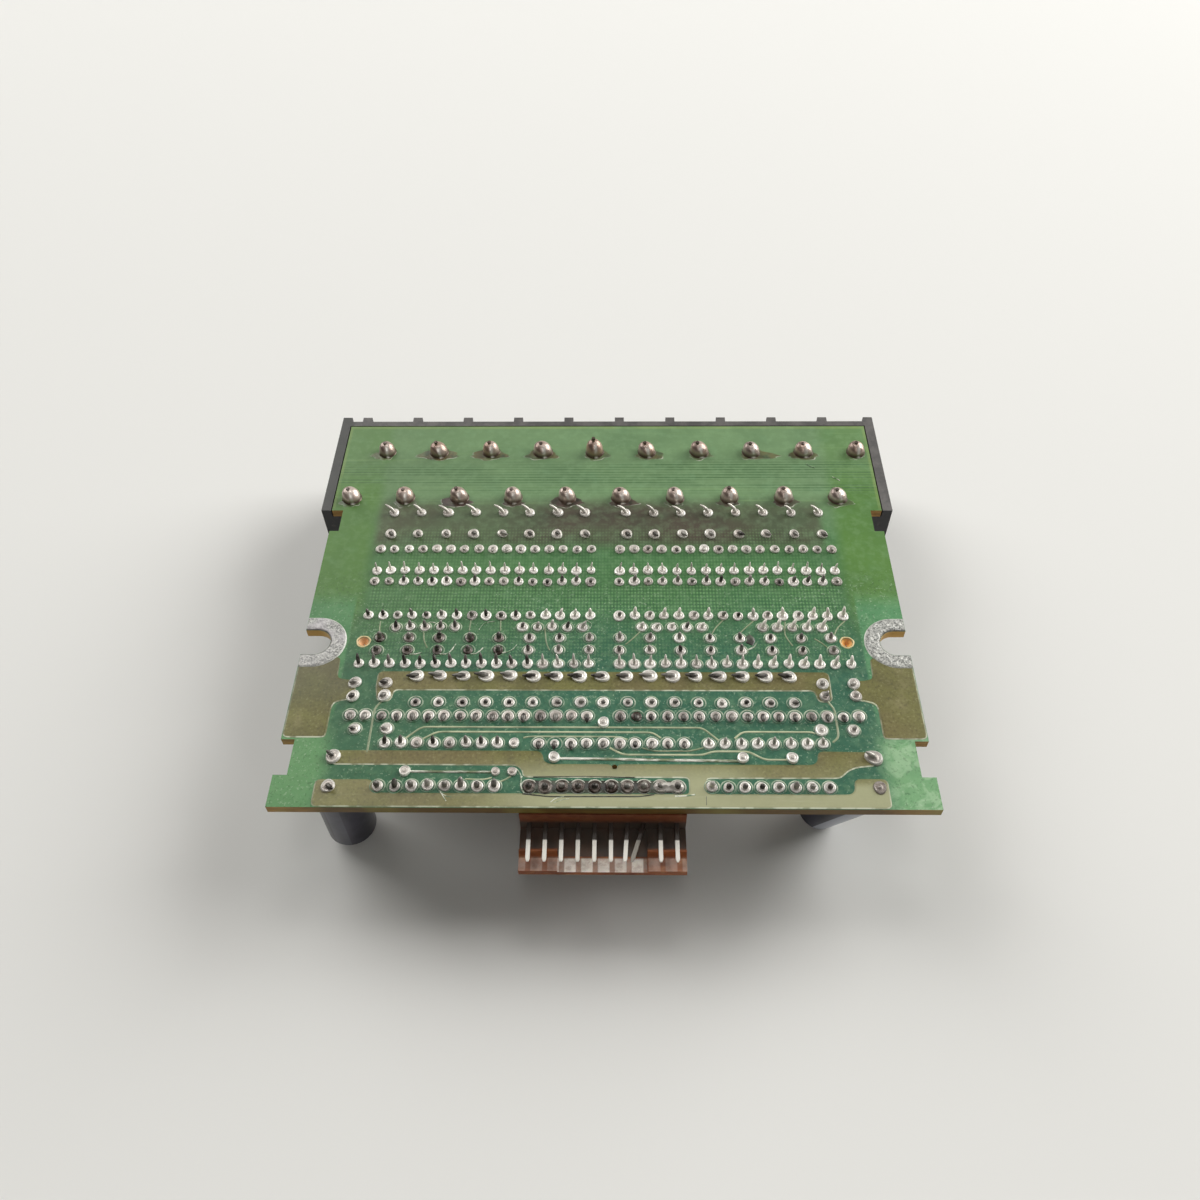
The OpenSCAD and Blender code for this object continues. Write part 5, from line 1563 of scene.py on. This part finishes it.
class BOARD_OT_small_parts(bpy.types.Operator):
    """Finishes the chips, networks, resistors, diodes, lamps and small capacitors, and their leads"""

    bl_idname = "board.small_parts"
    bl_label = "Small parts"

    def execute(self, context):
        look = context.scene.board_plastics
        plain_finish(
            "moulded epoxy", look.chip, colour(46, 46, 49),
            ["logic_left", "logic_right"] + ["coupler_%d" % i for i in range(1, 5)], 400.0, Roughness=0.55,
        )
        networks = ["network_%s_%d" % (row, i) for row in ("rear", "middle", "front") for i in range(1, 5)]
        networks.append("network_short")
        plain_finish(
            "dipped epoxy", look.network, colour(104, 46, 28), networks, 240.0, Roughness=0.32,
            Coat_Weight=0.4, Coat_Roughness=0.15,
        )
        plain_finish(
            "moulded boxes", look.film, colour(184, 132, 44), ["film_capacitors"], 200.0, Roughness=0.38,
            Coat_Weight=0.2,
        )
        plain_finish(
            "dipped discs", look.disc, colour(182, 116, 46), ["corner_capacitors"], 220.0, Roughness=0.34,
            Coat_Weight=0.4,
        )
        plain_finish(
            "tinted lens", look.lamp, colour(156, 16, 14), ["lamps"], 180.0, 0.1, Roughness=0.18,
            Transmission_Weight=0.35, Coat_Weight=0.6, Coat_Roughness=0.08,
        )
        leads = [
            "can_leads", "network_leads", "resistor_leads", "diode_leads", "lamp_leads", "film_leads",
            "corner_leads", "coupler_legs", "logic_legs",
        ]
        plain_finish(
            "tinned wire", colour(206, 202, 192), colour(146, 138, 124), leads, 500.0, Metallic=0.85,
            Roughness=0.34,
        )

        # bands round the standing resistors, by height
        low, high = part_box("resistors")
        n = Finish("cement-coated resistors", Roughness=0.62)
        z = n.axes()[2]
        n.tint = n.mix(n.cloud(320.0, 0.35, 0.7), colour(140, 156, 146), colour(112, 128, 120))
        for share, band in (
            (0.24, colour(96, 60, 32)), (0.38, colour(30, 28, 28)), (0.52, colour(176, 40, 30)),
            (0.76, colour(180, 144, 62)),
        ):
            middle = low.z + share * (high.z - low.z)
            n.lay(n.within(z, middle - 0.45 * MM, middle + 0.45 * MM, 0.05 * MM), band)
        n.lay(n.cloud(45.0, 0.45, 0.6, 0.0, 0.3), colour(96, 80, 58))
        dress("resistors", n.cover(n.noise(1500.0, 3.0), 0.4, 0.06))

        low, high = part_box("diodes")
        n = Finish("diode glass", Roughness=0.12, Transmission_Weight=0.4, IOR=1.5)
        y = n.axes()[1]
        n.tint = n.mix(n.cloud(400.0, 0.4, 0.7), colour(196, 110, 66), colour(170, 84, 50))
        end = low.y + 0.24 * (high.y - low.y)
        n.lay(n.within(y, end - 0.3 * MM, end + 0.3 * MM, 0.04 * MM), colour(24, 22, 24))
        dress("diodes", n.paint(Base_Color=n.tint))
        return {"FINISHED"}


# ---------------------------------------------------------------- stage


class BOARD_OT_stage(bpy.types.Operator):
    """Sets the pale floor, the lamps behind and over the board, the even light and the camera"""

    bl_idname = "board.stage"
    bl_label = "Stage"

    def execute(self, context):
        look = context.scene.board_stage
        floor_mesh = bpy.data.meshes.new("floor")
        side = 6.0
        floor_mesh.from_pydata(
            [(-side, -side, 0), (side, -side, 0), (side, side, 0), (-side, side, 0)], [], [(0, 1, 2, 3)]
        )
        floor = bpy.data.objects.new("floor", floor_mesh)
        context.scene.collection.objects.link(floor)
        n = Finish("pale floor", Roughness=0.95)
        floor_mesh.materials.append(n.paint(Base_Color=tuple(look.floor)))

        world = bpy.data.worlds.new("even light")
        context.scene.world = world
        world.use_nodes = True
        background = world.node_tree.nodes["Background"]
        background.inputs["Color"].default_value = (1.0, 0.93, 0.84, 1.0)
        background.inputs["Strength"].default_value = look.sky

        self.hang(context, "left lamp", look.left_power, (1.3, 1.2), (-0.95, 1.0, 1.0), 1.75)
        self.hang(context, "right lamp", look.right_power, (1.5, 1.3), (1.6, 1.0, 0.95), 1.75)
        self.hang(context, "top lamp", look.top_power, (0.36, 0.2), (0.06, 0.5, 1.0), 1.12)
        self.hang(context, "strip lamp", look.strip_power, (0.13, 1.1), (0.04, -0.5, 0.85), 1.0)

        camera_data = bpy.data.cameras.new("camera")
        camera_data.lens, camera_data.sensor_width = look.lens, 36.0
        camera_data.clip_start, camera_data.clip_end = 0.005, 50.0
        camera = bpy.data.objects.new("camera", camera_data)
        context.scene.collection.objects.link(camera)
        camera.location = look.camera_place
        camera.rotation_euler = look.camera_turn
        context.scene.camera = camera
        context.scene.view_settings.view_transform = "Standard"
        return {"FINISHED"}

    def hang(self, context, name, power, sides, toward, away):
        """Hangs a rectangular lamp in a direction from the part, facing it."""
        data = bpy.data.lights.new(name, "AREA")
        data.shape, data.size, data.size_y = "RECTANGLE", *sides
        data.energy = power
        data.color = (1.0, 0.99, 0.97)
        lamp = bpy.data.objects.new(name, data)
        context.scene.collection.objects.link(lamp)
        direction = Vector(toward).normalized()
        lamp.location = direction * away
        lamp.rotation_euler = direction.to_track_quat("Z", "Y").to_euler()


# ---------------------------------------------------------------- add-on


OPERATORS = (
    BOARD_OT_laminate,
    BOARD_OT_copper_areas,
    BOARD_OT_tracks,
    BOARD_OT_small_joints,
    BOARD_OT_header_joints,
    BOARD_OT_block_joints,
    BOARD_OT_flux,
    BOARD_OT_vias,
    BOARD_OT_hole_linings,
    BOARD_OT_flux_marks,
    BOARD_OT_slot_lands,
    BOARD_OT_header,
    BOARD_OT_terminal_block,
    BOARD_OT_capacitors,
    BOARD_OT_small_parts,
    BOARD_OT_stage,
)
SETTINGS = {
    "board_mask": MaskSettings, "board_solder": SolderSettings, "board_plastics": PlasticSettings,
    "board_stage": StageSettings,
}


class BOARD_PT_sidebar(bpy.types.Panel):
    """Lists the pieces of the board"""

    bl_label = "Alarm board"
    bl_idname = "BOARD_PT_sidebar"
    bl_space_type = "VIEW_3D"
    bl_region_type = "UI"
    bl_category = "Alarm board"

    def draw(self, context):
        for operator in OPERATORS:
            self.layout.operator(operator.bl_idname, text=operator.bl_label)
        for name, group in SETTINGS.items():
            box = self.layout.box()
            box.label(text=group.__name__)
            for key in group.__annotations__:
                box.prop(getattr(context.scene, name), key)


def register():
    for group in SETTINGS.values():
        bpy.utils.register_class(group)
    for name, group in SETTINGS.items():
        setattr(bpy.types.Scene, name, PointerProperty(type=group))
    for operator in OPERATORS:
        bpy.utils.register_class(operator)
    bpy.utils.register_class(BOARD_PT_sidebar)


def unregister():
    bpy.utils.unregister_class(BOARD_PT_sidebar)
    for operator in reversed(OPERATORS):
        bpy.utils.unregister_class(operator)
    for name in SETTINGS:
        delattr(bpy.types.Scene, name)
    for group in SETTINGS.values():
        bpy.utils.unregister_class(group)


def main():
    register()
    for operator in OPERATORS:
        group, name = operator.bl_idname.split(".")
        getattr(getattr(bpy.ops, group), name)()


if __name__ == "__main__":
    main()
